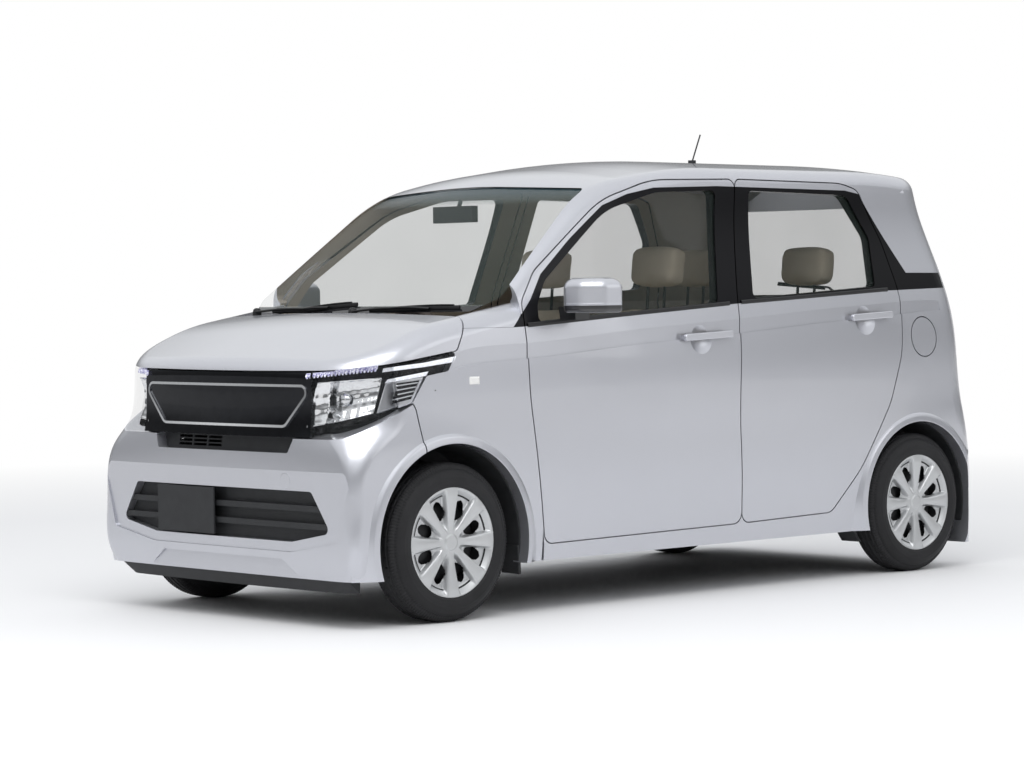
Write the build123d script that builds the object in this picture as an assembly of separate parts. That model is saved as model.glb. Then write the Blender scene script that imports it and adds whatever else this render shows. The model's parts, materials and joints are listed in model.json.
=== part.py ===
from build123d import *
import os
from math import cos, degrees, radians, sin

# A five-door kei car. Millimetres, +Z up, ground at Z = 0, nose towards -Y, its left side towards +X.

# ---- driving dimensions -------------------------------------------------------------------------
wheelbase = 2520
front_axle_y = -1236
rear_axle_y = front_axle_y + wheelbase
track = 1300
ground_clearance = 150

# body walls and gaps
shut_gap = 5
door_front_gap = 6.5
door_depth = 92
pillar_depth = 42
roof_depth = 40
skin_depth = 22
flange_width = 18
flange_clearance = 6
bonnet_depth = 28
nose_depth = 40
tailgate_depth = 55
glass_inset = 6
glass_thickness = 5
floor_bottom = 185
floor_top = 245
firewall_y = -930
firewall_depth = 30

# crown of the roof and bonnet, as radii
roof_crown = 3500
bonnet_crown = 9000
rail_round = 70
bonnet_round = 75

# tyres 155/65 R14
rim_diameter = 355.6
tyre_width = 155
tyre_aspect = 0.65
tyre_radius = rim_diameter / 2 + tyre_width * tyre_aspect
wheel_x = track / 2
arch_radius_front = 347
arch_radius_rear = 330
arch_z = 276
flare_width = 95
flare_face = 737.5
flare_root = 688
flare_overlap = 20
flare_limit_x = 760
flare_rear_y = 1690
flare_rear_round = 200
wheel_well_x = 395

# the body's plan at each height: half width and the sides' bow, then y, bow and corner round of each end
body_levels = (
    (90, 660, -6, -1640, 30, 120, 1640, 40, 120),
    (180, 702, -8, -1686, 12, 60, 1676, 26, 110),
    (330, 716, -10, -1697, 10, 40, 1697, 26, 110),
    (480, 729, 5, -1697, 10, 50, 1697, 30, 110),
    (590, 733, 8, -1692, 16, 90, 1697, 44, 130),
    (680, 736, 16, -1682, 34, 200, 1692, 50, 150),
    (820, 737, 22, -1678, 40, 250, 1680, 50, 160),
    (960, 728, 22, -1674, 40, 250, 1668, 50, 150),
    (1100, 704, 22, -1670, 40, 250, 1650, 50, 140),
    (1420, 630, 22, -1650, 40, 240, 1580, 50, 170),
    (1720, 560, 22, -1640, 40, 230, 1522, 50, 170),
)
belt_level = 1040

# centre-line profiles: y, z, rounding radius
roof_line = ((-1300, 959, 0), (-440, 1584, 700), (60, 1655, 2500), (1250, 1655, 3000), (1800, 1590, 0))
bonnet_line = ((-1800, 800, 0), (-1640, 925, 160), (-1330, 1052, 900), (-700, 1160, 0))

# shut lines seen from the side: y, z, rounding radius
pillar_line = ((336, 1566, 30), (244, 1125, 900), (214, 700, 1500), (247, 258, 40))
front_door_line = ((-785, 246, 40), (-868, 780, 900), (-874, 1110, 60), (-790, 1216, 150),
                   (-400, 1478, 500), (-120, 1556, 600))
rear_door_line = ((760, 270, 60), (930, 434, 500), (1110, 690, 300), (1186, 880, 300),
                  (1219, 1110, 400), (1165, 1330, 300), (1060, 1535, 60), (960, 1560, 300))
front_window = ((-805, 1036, 20), (-800, 1100, 40), (-745, 1185, 120), (-385, 1440, 400),
                (-110, 1512, 400), (221, 1524, 22), (133, 1096, 22))
rear_window = ((334, 1110, 22), (409, 1525, 22), (985, 1515, 50), (1094, 1345, 60), (1074, 1150, 22))
bonnet_side = ((-1100, 1300, 0), (-1130, 1082, 0), (-1207, 945, 20), (-1678, 880, 0), (-1800, 868, 0),
               (-1800, 1300, 0))
lamp_side = ((-1207, 940, 8), (-1250, 874, 10), (-1348, 860, 20), (-1414, 768, 25), (-1661, 655, 0),
             (-1800, 640, 0), (-1800, 863, 0), (-1678, 875, 0))
bumper_edge = ((-1403, 745, 0), (-1369, 609, 20), (-1369, 100, 0), (-1800, 100, 0), (-1800, 635, 0),
               (-1661, 650, 0), (-1414, 763, 0))
# seen from the front or rear: x, z, rounding radius
windscreen_outline = ((-610, 1078, 40), (0, 1072, 4000), (610, 1078, 40), (672, 1128, 30), (562, 1524, 35),
                      (0, 1548, 4000), (-562, 1524, 35), (-672, 1128, 30))
tailgate_outline = ((-560, 590, 60), (560, 590, 60), (600, 1000, 200), (520, 1600, 50), (-520, 1600, 50),
                    (-600, 1000, 200))
tailgate_window = ((-540, 1120, 50), (540, 1120, 50), (480, 1480, 50), (-480, 1480, 50))
upper_grille_outline = ((-345, 694, 30), (345, 694, 30), (474, 826, 20), (-474, 826, 20))
lower_grille_outline = ((-390, 293, 20), (390, 293, 20), (596, 331, 20), (500, 470, 20), (-500, 470, 20),
                        (-596, 331, 20))
slot_grille_outline = ((-372, 598, 10), (372, 598, 10), (398, 655, 10), (-398, 655, 10))

# the crease along the side: y, z, and how deep and tall the hollow above it is
crease_line = ((-1219, 881), (-875, 909), (-440, 939), (-93, 961), (232, 979), (520, 998), (873, 1020), (1180, 1037),
               (1462, 1052))
crease_depth = 7
crease_height = 62
crease_fade = 0.5

# the bumper's sunk front face and chin, seen from the front
face_outline = ((-640, 300, 20), (-400, 258, 200), (400, 258, 200), (640, 300, 20), (706, 522, 25), (640, 590, 60),
                (420, 612, 60), (-420, 612, 60), (-640, 590, 60), (-706, 522, 25))
face_bow_radius = 22000
face_tilt = 1.26
face_reach = 3000
face_y = -1688.2
face_z = 450
chin_outline = ((-460, 150, 0), (460, 150, 0), (340, 232, 12), (-340, 232, 12))
chin_y = -1681
bumper_bottom = 168
spoiler_bottom = 122
spoiler_inset = 14
spoiler_half = 650
spoiler_end_y = -1600
frame_rise = 4
frame_width = 9
frame_sink = 14
# the air slots in the plate behind the slot opening: their count, pitch, size and first corner
slot_rows = 3
slot_columns = 3
slot_pitch_x = 88
slot_pitch_z = 14
slot_long = 78
slot_tall = 9
slot_x = -300
slot_z = 608

tail_y = 1475
bumper_top = 585
roof_edge_x = 535
bonnet_rear_y = -1190
cowl_half = 640
bonnet_rear_radius = 4000
lamp_inner_x = 476
rear_well_x = 500
handle_reach = 26
handle_height = 27
handle_thickness = 13
bowl_radius = 58
bowl_depth = 15


# rear bumper and lamps, seen from the side and the rear
rear_bumper_side = ((1475, 585, 0), (1800, 585, 0), (1800, 100, 0), (1475, 100, 0))
tail_lamp_outline = ((608, 870, 10), (900, 870, 0), (900, 1430, 0), (560, 1430, 10), (606, 1240, 100))
tail_lamp_side = ((1560, 870, 0), (1535, 1100, 200), (1478, 1430, 0), (2000, 1430, 0), (2000, 870, 0))
lid_y = 1337
lid_z = 946
lid_radius = 78
lid_thickness = 8

# floor, tank and engine bay
sill_inner_x = 590
kick_y = 820
rear_floor_top = 440
rear_floor_end = 1640
tank_half_x = 330
tank_y0 = -280
tank_y1 = 240
tank_top = 318
rail_x = 385

# running gear
hub_x = 660
hub_radius = 55
ball_x = 590
ball_z = 160
strut_foot_x = 516
strut_top_x = 508
strut_top_z = 790
beam_y = 1090
beam_z = 285
trail_y = 900
exhaust_radius = 17
exhaust_path = ((-400, -900, 158), (-400, 850, 158), (-400, 1000, 215), (-400, 1425, 250))
cover_radius = 195
cover_holes = 8
cover_hole_r = 117
cover_hole_long = 64
cover_hole_wide = 40

# cabin fittings: y, z, rounding radius
driver_x = -330
dash_section = ((firewall_y, 600, 0), (-700, 640, 30), (-640, 760, 60), (-560, 960, 50), (-640, 1030, 50),
                (firewall_y, 1040, 0))
steering_y = -430
steering_z = 925
steering_radius = 172
wheel_tilt = 25
seat_x = 315
front_seat_width = 500
front_seat_y = -180
rear_seat_y = 700
rear_seat_width = 1150
rest_width = 250
cushion_section = ((-250, 350, 20), (270, 340, 20), (270, 560, 40), (-250, 590, 60))
back_section = ((240, 480, 40), (370, 470, 40), (430, 1090, 50), (330, 1110, 40), (230, 620, 40))
rest_section = ((330, 1160, 30), (430, 1150, 30), (450, 1300, 35), (350, 1320, 35))
mirror_y = -650
mirror_plan = ((748, -738, 30), (850, -728, 60), (910, -668, 50), (914, -572, 18), (752, -604, 12))
mirror_low = 1068
mirror_high = 1192
handle_spots = (
    ("front_door_left", (-92, 968), (171, 978), 727),
    ("rear_door_left", (880, 1029), (1125, 1039), 709),
)
wiper_spots = ((-480, -1140, 60, -1110, 1110), (100, -1160, 560, -1050, 1112))
wiper_foot_z = 1074
antenna_y = 740
antenna_tip_y = 790
antenna_tip_z = 1778
plate_x = -200


# ---- forms shared by the panels -----------------------------------------------------------------
def face_of(plane, corners):
    """A closed outline of straight lines with each corner rounded to its own radius."""
    wire = FilletPolyline(*[(u, v) for u, v, r in corners], radius=[r for u, v, r in corners], close=True)
    return plane * make_face(wire)


def prism(plane, corners, start, end, grow=0):
    """An outline, grown by a margin, pushed through from start to end along the plane's normal."""
    flat = face_of(Plane.XY, corners)
    if grow:
        flat = offset(flat, amount=grow)
    return plane * (Pos(0, 0, start) * extrude(flat, end - start))


def side_prism(corners, grow=0, inner=300, outer=1000):
    return prism(Plane.YZ, corners, inner, outer, grow)


def across(corners, grow=0):
    return prism(Plane.YZ, corners, -1000, 1000, grow)


def front_prism(corners, near, far, grow=0):
    """An outline in X and Z pushed through from y = near to y = far."""
    return prism(Plane.XZ, corners, -far, -near, grow)


def block(x0, x1, y0, y1, z0, z1):
    return Pos((x0 + x1) / 2, (y0 + y1) / 2, (z0 + z1) / 2) * Box(x1 - x0, y1 - y0, z1 - z0)


def rod(start, end, radius):
    line = Line(start, end)
    return extrude(Plane(origin=line @ 0, z_dir=line % 0) * Circle(radius), line.length)


def level_outline(level, inset):
    height, half, bow, front, front_bow, front_round, rear, rear_bow, rear_round = level
    half -= inset
    front += inset
    rear -= inset
    side = half - bow
    nose = front + front_bow
    tail = rear - rear_bow
    flat = make_face([
        ThreePointArc((-side, nose), (0, front), (side, nose)),
        ThreePointArc((side, nose), (half, 0), (side, tail)),
        ThreePointArc((side, tail), (0, rear), (-side, tail)),
        ThreePointArc((-side, tail), (-half, 0), (-side, nose)),
    ])
    flat = fillet([v for v in flat.vertices() if v.Y < 0], max(front_round - inset, 20))
    flat = fillet([v for v in flat.vertices() if v.Y > 800 and abs(v.X) > side - 15], max(rear_round - inset, 20))
    return Pos(0, 0, height) * flat


def body_form(low_inset, high_inset=None, ruled=True):
    """The body's sides and ends as one loft of plan outlines, set in by a wall thickness."""
    if high_inset is None:
        high_inset = low_inset
    rings = []
    for level in body_levels:
        rings.append(level_outline(level, low_inset if level[0] < belt_level else high_inset))
    return loft(rings, ruled=ruled)


def cap(line, crown, inset):
    """Everything above a crowned top surface, to be cut off the body."""
    corners = [(y, z - inset, r) for y, z, r in line]
    corners += [(line[-1][0], 3000, 0), (line[0][0], 3000, 0)]
    axis = Axis((0, 0, max(z for y, z, r in line) - crown), (0, 1, 0))
    sweep = 2 * degrees(1000 / crown)
    return revolve(face_of(Plane.YZ, corners), axis, sweep).rotate(axis, -sweep / 2)


def rim_edges(solid, y_low, y_high, z_low):
    """Edges between the crowned top and the lofted sides."""
    tops = [f for f in solid.faces() if f.geom_type != GeomType.BSPLINE and f.center().Z > z_low]
    chosen = []
    for edge in solid.edges():
        uses = sum(1 for face in tops if any(other.is_same(edge) for other in face.edges()))
        if uses == 1 and y_low < (edge @ 0.5).Y < y_high:
            chosen.append(edge)
    return chosen


def mirrored(solid):
    return solid.mirror(Plane.YZ)


def wheel_cut(axle_y, radius, inner_x):
    return Pos(0, axle_y, arch_z) * Rot(0, 90, 0) * Pos(0, 0, (inner_x + 1000) / 2) * Cylinder(radius, 1000 - inner_x)


def flare(axle_y, radius):
    """A soft ring around a wheel arch that brings the lip out over the tyre."""
    inner = radius - flare_overlap
    ring = face_of(Plane.XY, (
        (600, inner, 0), (flare_face, inner, 0), (flare_face, radius + 4, 12), (flare_face - 3, radius + 24, 20),
        (flare_root, radius + flare_width, 0), (600, radius + flare_width, 0)))
    limit = block(0, flare_limit_x, -2000, flare_rear_y, 0, 1000)
    limit = fillet([e for e in limit.edges() if (e @ 0.5).X > 1 and (e @ 0.5).Y > 0 and abs((e % 0.5).Z) > 0.9],
                   flare_rear_round)
    return Pos(0, axle_y, arch_z) * revolve(ring, Axis.X, 360) & limit


def crease_cut():
    """The hollow above the side crease: a wedge lofted along the line, deepest at the line itself."""
    rings = []
    for number, (y, z) in enumerate(crease_line):
        fade = crease_fade if number in (0, len(crease_line) - 1) else 1
        low_x = side_x(y, z) - crease_depth * fade
        top_x = side_x(y, z + crease_height) + 1
        corners = [(low_x, z), (side_x(y, z) + 30, z), (top_x + 30, z + crease_height), (top_x, z + crease_height)]
        rings.append(Plane(origin=(0, y, 0), x_dir=(1, 0, 0), z_dir=(0, -1, 0)) * make_face(
            Polyline(*corners, close=True)))
    return loft(rings)


def side_x(y, z):
    """The side's own x at a height, from the parabola through the three nearest plan levels."""
    near = sorted(sorted(body_levels, key=lambda level: abs(level[0] - z))[:3])
    total = 0
    for level in near:
        others = [other[0] for other in near if other is not level]
        weight = (z - others[0]) * (z - others[1]) / ((level[0] - others[0]) * (level[0] - others[1]))
        total += weight * (level[1] - level[2] * (y / 1650) ** 2)
    return total


parts = {}

left_half = block(0, 1000, -2000, 2000, 0, 2000)
outer = body_form(0, ruled=False)
outer_cabin = outer - cap(roof_line, roof_crown, 0) - block(-1000, 1000, -2000, -1150, 0, 2000)
outer_cabin = outer_cabin.fillet(rail_round, rim_edges(outer_cabin, -1140, 2000, 1000))
rear_flare = flare(rear_axle_y, arch_radius_rear)
outer_cabin = outer_cabin + rear_flare + mirrored(rear_flare)
cavity = body_form(door_depth, pillar_depth) - cap(roof_line, roof_crown, roof_depth)
cavity = cavity - block(-1000, 1000, -2000, firewall_y, 0, 2000) - block(-1000, 1000, -2000, 2000, 0, floor_top)
skin_form = body_form(skin_depth) & left_half
rebate_form = body_form(skin_depth + flange_clearance) & left_half
glass_outer = body_form(glass_inset, ruled=False) & left_half
glass_inner = body_form(glass_inset + glass_thickness, ruled=False) & left_half
cabin_wall = outer_cabin - cavity
side_wall = cabin_wall & left_half

outer_nose = outer - cap(bonnet_line, bonnet_crown, 0) - block(-1000, 1000, -800, 2000, 0, 2000)
outer_nose = outer_nose.fillet(bonnet_round, rim_edges(outer_nose, -2000, -810, 700))
front_flare = flare(front_axle_y, arch_radius_front)
outer_nose = outer_nose + front_flare + mirrored(front_flare)


front_well = wheel_cut(front_axle_y, arch_radius_front, wheel_well_x)
rear_well = wheel_cut(rear_axle_y, arch_radius_rear, rear_well_x)
underside = block(-1000, 1000, -2000, 2000, -100, floor_bottom)

# ---- doors --------------------------------------------------------------------------------------
front_door_outline = front_door_line + pillar_line
pillar_front = tuple((y + shut_gap, z, r) for y, z, r in pillar_line)
rear_door_outline = rear_door_line + pillar_front


def door(outline, window):
    panel = side_wall & side_prism(outline)
    flange_back = (skin_form & side_prism(outline, 5)) - side_prism(outline, -flange_width)
    return panel - flange_back - side_prism(window)


def pane(window):
    return (glass_outer & side_prism(window)) - glass_inner


def handle(start, end, face_x):
    """A pull handle: a flat-faced grip, rounder at its free end, on two feet."""
    (y0, z0), (y1, z1) = start, end
    half = handle_height / 2
    grip = ((y0, z0 - half, half - 1), (y1, z1 - half, half - 4), (y1, z1 + half, half - 4), (y0, z0 + half, half - 1))
    outer_x = face_x + handle_reach
    bar = side_prism(grip, 0, outer_x - handle_thickness, outer_x)
    bar = bar.fillet(5, [e for e in bar.edges() if (e @ 0.5).X > outer_x - 1])
    feet = [block(face_x - 15, outer_x - 4, y - 14, y + 14, z - half + 5, z + half - 5)
            for y, z in ((y0 + 22, z0), (y1 - 24, z1))]
    return bar + feet


def handle_bowl(start, end, face_x):
    """The dish behind a grip: a spherical cap sunk into the door's skin."""
    ball = (bowl_radius ** 2 + bowl_depth ** 2) / (2 * bowl_depth)
    (y0, z0), (y1, z1) = start, end
    return Pos(face_x + ball - bowl_depth, (y0 + y1) / 2 - 25, (z0 + z1) / 2) * Sphere(ball)


front_door = door(front_door_outline, front_window)
rear_door = door(rear_door_outline, rear_window)
crease = crease_cut()
parts["front_door_left"] = front_door - crease
parts["rear_door_left"] = rear_door - crease
parts["front_door_glass_left"] = pane(front_window)
parts["rear_door_glass_left"] = pane(rear_window)

# ---- body side ----------------------------------------------------------------------------------
fender_join = ((-1130, 1082, 0), (-1060, 1180, 0), (-900, 1180, 0), (-874 - door_front_gap, 1050, 0),
               (-868 - door_front_gap, 780, 0), (-785 - door_front_gap, 246, 0), (-785, 100, 0), (-2000, 100, 0),
               (-2000, 1082, 0))
side = side_wall - block(-1, roof_edge_x, -2000, tail_y, 1300, 2000)
side = side - block(-1, sill_inner_x, -2000, 2000, 0, floor_top + 55)
side = side - block(-1, 1000, tail_y, 2000, 0, bumper_top) - front_prism(tailgate_outline, 1000, 2000, shut_gap)
side = side - side_prism(fender_join, 0, -10, 1000)
for outline in (front_door_outline, rear_door_outline):
    side = side - (side_prism(outline, shut_gap) - rebate_form)
    side = side - side_prism(outline, flange_clearance - flange_width)
side = side - rear_well - underside
side = side - crease
parts["body_side_left"] = max(side.solids(), key=lambda solid: solid.volume)

# ---- roof, windscreen and tailgate ----------------------------------------------------------------
windscreen_cut = front_prism(windscreen_outline, -1300, -300)
roof = cabin_wall & block(-roof_edge_x, roof_edge_x, -1150, tail_y, 1300, 2000)
roof = roof - windscreen_cut
parts["roof_panel"] = max(roof.solids(), key=lambda solid: solid.volume)
parts["body_side_left"] = parts["body_side_left"] - windscreen_cut

screen = windscreen_cut & (outer_cabin - cap(roof_line, roof_crown, glass_inset)
                           - (outer_cabin - cap(roof_line, roof_crown, glass_inset + glass_thickness)))
parts["windscreen"] = screen

tailgate_shell = (outer_cabin & block(-700, 700, tail_y + door_front_gap, 2000, bumper_top, 2000)) - body_form(tailgate_depth)
tailgate = tailgate_shell & front_prism(tailgate_outline, 1000, 2000)
tailgate = tailgate - front_prism(tailgate_window, 1000, 2000)
parts["tailgate"] = tailgate
rear_glass = (body_form(glass_inset) & front_prism(tailgate_window, 1200, 2000)) - body_form(
    glass_inset + glass_thickness)
parts["tailgate_glass"] = rear_glass

# ---- nose -----------------------------------------------------------------------------------------
wall_form = body_form(nose_depth)
nose_inner = wall_form - cap(bonnet_line, bonnet_crown, bonnet_depth)
nose_wall = outer_nose - nose_inner
bonnet_cut = across(bonnet_side)
bonnet = nose_wall & bonnet_cut
bonnet = bonnet & Pos(0, bonnet_rear_y + bonnet_rear_radius, 1000) * (
    Box(6000, 2 * bonnet_rear_radius + 3000, 1000) - Cylinder(bonnet_rear_radius, 1000))
parts["bonnet"] = bonnet

fender = (nose_wall & left_half) - across(bonnet_side, shut_gap) - side_prism(lamp_side, 0, 0, 1000)
fender = fender - side_prism(bumper_edge, shut_gap, 0, 1000)
door_front = ((-874 - door_front_gap, 1200, 0), (-874 - door_front_gap, 1050, 0),
              (-868 - door_front_gap, 780, 0), (-785 - door_front_gap, 246, 0), (-785, 100, 0), (0, 100, 0), (0, 1200, 0))
fender = fender - side_prism(door_front, 0, 0, 1000)
fender = fender - front_well - underside - windscreen_cut - block(-1, cowl_half, -2000, 0, 900, 2000)
fender = fender - parts["body_side_left"] - crease
parts["front_fender_left"] = max(fender.solids(), key=lambda solid: solid.volume)

bumper = (outer_nose - wall_form) & across(bumper_edge)
bumper = bumper - front_prism(lower_grille_outline, -2000, -1500) - front_prism(slot_grille_outline, -2000, -1500)
bumper = bumper - front_well - mirrored(front_well) - block(-1000, 1000, -2000, 0, 0, bumper_bottom)
face_floor = Pos(0, face_y + face_bow_radius, face_z) * Rot(face_tilt, 0, 0) * Cylinder(face_bow_radius, face_reach)
bumper = bumper - (front_prism(face_outline, -1900, -1600) - face_floor)
bumper = bumper - front_prism(chin_outline, -1900, chin_y)
parts["front_bumper"] = bumper
spoiler = body_form(spoiler_inset) - body_form(nose_depth + spoiler_inset)
parts["chin_spoiler"] = spoiler & block(-spoiler_half, spoiler_half, -2000, spoiler_end_y, spoiler_bottom, bumper_bottom)

lamp_band = nose_wall & across(lamp_side)
grille = lamp_band & block(-lamp_inner_x + 1, lamp_inner_x - 1, -2000, -1000, 500, 1000)
frame_ring = front_prism(upper_grille_outline, -1900, -1600, frame_width)
frame_ring = frame_ring - front_prism(upper_grille_outline, -1900, -1600)
grille = grille - (frame_ring - body_form(frame_sink))
parts["grille"] = grille
frame_ring = (frame_ring & body_form(-frame_rise)) - body_form(frame_sink)
parts["grille_frame"] = frame_ring
slot_plate = front_prism(slot_grille_outline, -1900, -1600, 8) & (wall_form - body_form(nose_depth + 8))
for column in range(slot_columns):
    for row in range(slot_rows):
        spot_x = slot_x + slot_pitch_x * column
        spot_z = slot_z + slot_pitch_z * row
        slot_plate = slot_plate - block(spot_x, spot_x + slot_long, -2000, -1500, spot_z, spot_z + slot_tall)
parts["slot_grille"] = slot_plate
headlamp = lamp_band & block(lamp_inner_x, 1000, -2000, -1000, 500, 1000)
parts["headlamp_left"] = headlamp


# ---- tail ------------------------------------------------------------------------------------------
tail_shell = (outer_cabin & block(-1000, 1000, 1400, 2000, 0, 2000)) - wall_form
rear_bumper = tail_shell & across(rear_bumper_side)
rear_bumper = rear_bumper - rear_well - mirrored(rear_well)
parts["rear_bumper"] = rear_bumper
tail_lamp_cut = front_prism(tail_lamp_outline, 1400, 2000) & across(tail_lamp_side)
parts["tail_lamp_left"] = (tail_shell & tail_lamp_cut) & left_half
parts["body_side_left"] = parts["body_side_left"] - tail_lamp_cut

lid_spot = Pos(0, lid_y, lid_z) * Rot(0, 90, 0)
lid_disc = lid_spot * Pos(0, 0, 800) * Cylinder(lid_radius, 400)
parts["fuel_lid"] = (outer & lid_disc) - body_form(lid_thickness)
lid_pocket = (lid_spot * Pos(0, 0, 800) * Cylinder(lid_radius + shut_gap, 400)) - body_form(lid_thickness + 30)
parts["body_side_left"] = parts["body_side_left"] - lid_pocket
parts["body_side_right"] = mirrored(parts["body_side_left"] + (lid_pocket & outer))

# ---- floor, firewall and the frame around the engine ------------------------------------------------
floor_half = sill_inner_x
pan = block(-floor_half, floor_half, firewall_y - firewall_depth, kick_y, floor_bottom, floor_top)
pan += block(-floor_half, floor_half, firewall_y - firewall_depth, firewall_y, floor_bottom, 1030)
pan += block(-floor_half, floor_half, kick_y - 30, kick_y, floor_bottom, rear_floor_top)
pan += block(-floor_half, floor_half, kick_y - 30, rear_floor_end, rear_floor_top - 40, rear_floor_top)
hump_x, hump_y0, hump_y1, hump_z = tank_half_x + 15, tank_y0 - 15, tank_y1 + 15, tank_top + 15
pan += block(-hump_x, hump_x, hump_y0, hump_y1, floor_bottom, hump_z)
pan -= block(-tank_half_x, tank_half_x, tank_y0, tank_y1, 0, tank_top)
for sign in (-1, 1):
    house = Pos(0, rear_axle_y, arch_z) * Rot(0, 90, 0) * Pos(0, 0, sign * 550) * Cylinder(arch_radius_rear + 25, 130)
    pan += house & block(-1000, 1000, 0, 2000, rear_floor_top - 20, 2000)
for sign in (-1, 1):
    house = Pos(0, front_axle_y, arch_z) * Rot(0, 90, 0) * Pos(0, 0, sign * 480) * Cylinder(arch_radius_front + 25, 220)
    pan += house & block(-1000, 1000, firewall_y - firewall_depth, 0, floor_bottom, 2000)
for well in (front_well, rear_well):
    pan = pan - well - mirrored(well)
pan = pan & wall_form
parts["floor_pan"] = pan
parts["fuel_tank"] = block(-tank_half_x, tank_half_x, tank_y0, tank_y1, ground_clearance + 8, tank_top)

frame = Part()
for sign in (-1, 1):
    rail = block(rail_x - 60, rail_x, -1640, firewall_y - firewall_depth, 340, 450)
    wall = block(rail_x - 20, rail_x, -1560, firewall_y - firewall_depth, 440, 820)
    tower = Pos(strut_top_x - 10, front_axle_y, strut_top_z + 20) * Cylinder(85, 36)
    shelf = block(rail_x - 20, 600, front_axle_y - 85, front_axle_y + 85, strut_top_z + 2, strut_top_z + 20)
    top_rail = block(600, 1000, -1540, firewall_y - firewall_depth, 800, 850)
    post = block(540, 640, -1500, -1450, 650, 850) + block(rail_x - 20, 640, -1500, -1450, 650, 700)
    side_frame = rail + wall + tower + shelf + post
    frame += side_frame if sign > 0 else mirrored(side_frame)
frame += block(-620, 620, -1640, -1600, 260, 330) + block(-620, 620, -1640, -1600, 520, 580)
frame += block(-620, -560, -1640, -1600, 260, 580) + block(560, 620, -1640, -1600, 260, 580)
frame += block(-rail_x, 60 - rail_x, -1640, -1600, 260, 580) + block(rail_x - 60, rail_x, -1640, -1600, 260, 580)
frame -= wheel_cut(front_axle_y, arch_radius_front, rail_x)
frame -= mirrored(wheel_cut(front_axle_y, arch_radius_front, rail_x))
parts["engine_bay"] = frame & wall_form
parts["engine_block"] = block(-290, 300, -1520, -1010, 265, 820)

# ---- running gear -----------------------------------------------------------------------------------
def tyre():
    half = tyre_width / 2
    seat = rim_diameter / 2
    section = face_of(Plane.XY, (
        (-half + 22, seat, 0), (half - 22, seat, 0), (half, seat + 45, 0), (half - 12, tyre_radius - 14, 0),
        (half - 30, tyre_radius, 0), (-half + 30, tyre_radius, 0), (-half + 12, tyre_radius - 14, 0),
        (-half, seat + 45, 0)))
    return revolve(section, Axis.X, 360)


def wheel():
    """A pressed rim with the cover's eight oval windows cut through its face."""
    half = tyre_width / 2
    seat = rim_diameter / 2
    lip_x = half - 22 + 22 * (cover_radius - seat) / 45
    section = face_of(Plane.XY, (
        (-half + 22, seat, 0), (-half + 22, seat - 14, 0), (half - 60, seat - 20, 0), (half - 42, 150, 0),
        (half - 50, 60, 0), (half - 62, 0, 0), (half - 30, 0, 0), (half - 20, 34, 20), (half - 32, 60, 20),
        (half - 14, 150, 20), (half - 6, cover_radius, 0), (lip_x, cover_radius, 0), (half - 22, seat, 0)))
    disc = revolve(section, Axis.X, 360)
    hole = Rot(0, 90, 0) * (Pos(-cover_hole_r, 0, -half) * extrude(
        Ellipse(cover_hole_long / 2, cover_hole_wide / 2), tyre_width))
    for number in range(cover_holes):
        disc -= Rot(360 / cover_holes * number, 0, 0) * hole
    return disc


def hub(radius, width):
    """The hub and its brake: a stepped round about the wheel's axis, its face at x = 0."""
    section = face_of(Plane.XY, ((0, 0, 0), (0, hub_radius, 0), (-60, hub_radius, 0), (-60, radius, 0),
                                 (-60 - width, radius, 0), (-60 - width, 0, 0)))
    return revolve(section, Axis.X, 360)


for corner, sign, axle_y in (("front", 1, front_axle_y), ("rear", 1, rear_axle_y)):
    spot = Pos(wheel_x, axle_y, tyre_radius)
    parts[f"{corner}_tyre_left"] = spot * tyre()
    parts[f"{corner}_wheel_left"] = spot * wheel()

knuckle = Pos(hub_x, front_axle_y, tyre_radius) * hub(104, 14)
knuckle += block(hub_x - 110, hub_x - 70, front_axle_y - 30, front_axle_y + 30, ball_z + 28, 400)
knuckle += rod((ball_x, front_axle_y, ball_z + 12), (ball_x, front_axle_y, ball_z + 38), 18)
knuckle += block(hub_x - 110, ball_x + 16, front_axle_y - 18, front_axle_y + 18, ball_z + 28, ball_z + 48)
knuckle += rod((strut_foot_x, front_axle_y, 330), (strut_top_x, front_axle_y, strut_top_z), 22)
knuckle += block(strut_foot_x - 20, hub_x - 90, front_axle_y - 20, front_axle_y + 20, 340, 400)
knuckle += rod((strut_top_x, front_axle_y, 600), (strut_top_x, front_axle_y, strut_top_z - 20), 50)
parts["front_knuckle_left"] = knuckle

arms = block(-rail_x + 60, rail_x - 60, front_axle_y + 20, front_axle_y + 110, 200, 255)
for sign in (-1, 1):
    arm = rod((rail_x - 90, front_axle_y + 60, 215), (ball_x - 8, front_axle_y, ball_z - 14), 14)
    arm += block(rail_x - 60, rail_x - 20, front_axle_y + 60, front_axle_y + 100, 215, 340)
    arm += Pos(ball_x, front_axle_y, ball_z) * Cylinder(20, 14)
    arms += arm if sign > 0 else mirrored(arm)
parts["front_suspension"] = arms

beam = rod((-520, beam_y, beam_z), (520, beam_y, beam_z), 32)
for sign in (-1, 1):
    arm = rod((505, trail_y, beam_z + 10), (505, rear_axle_y, tyre_radius), 26)
    arm += rod((470, trail_y, beam_z + 10), (540, trail_y, beam_z + 10), 32)
    arm += block(480, 530, trail_y - 30, trail_y + 20, beam_z + 10, rear_floor_top - 40)
    arm += rod((480, rear_axle_y, tyre_radius), (hub_x - 80, rear_axle_y, tyre_radius), 36)
    arm += Pos(hub_x, rear_axle_y, tyre_radius) * hub(100, 40)
    arm += block(430, 460, beam_y - 15, beam_y + 15, beam_z, rear_floor_top - 40)
    beam += arm if sign > 0 else mirrored(arm)
parts["rear_axle"] = beam

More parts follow.
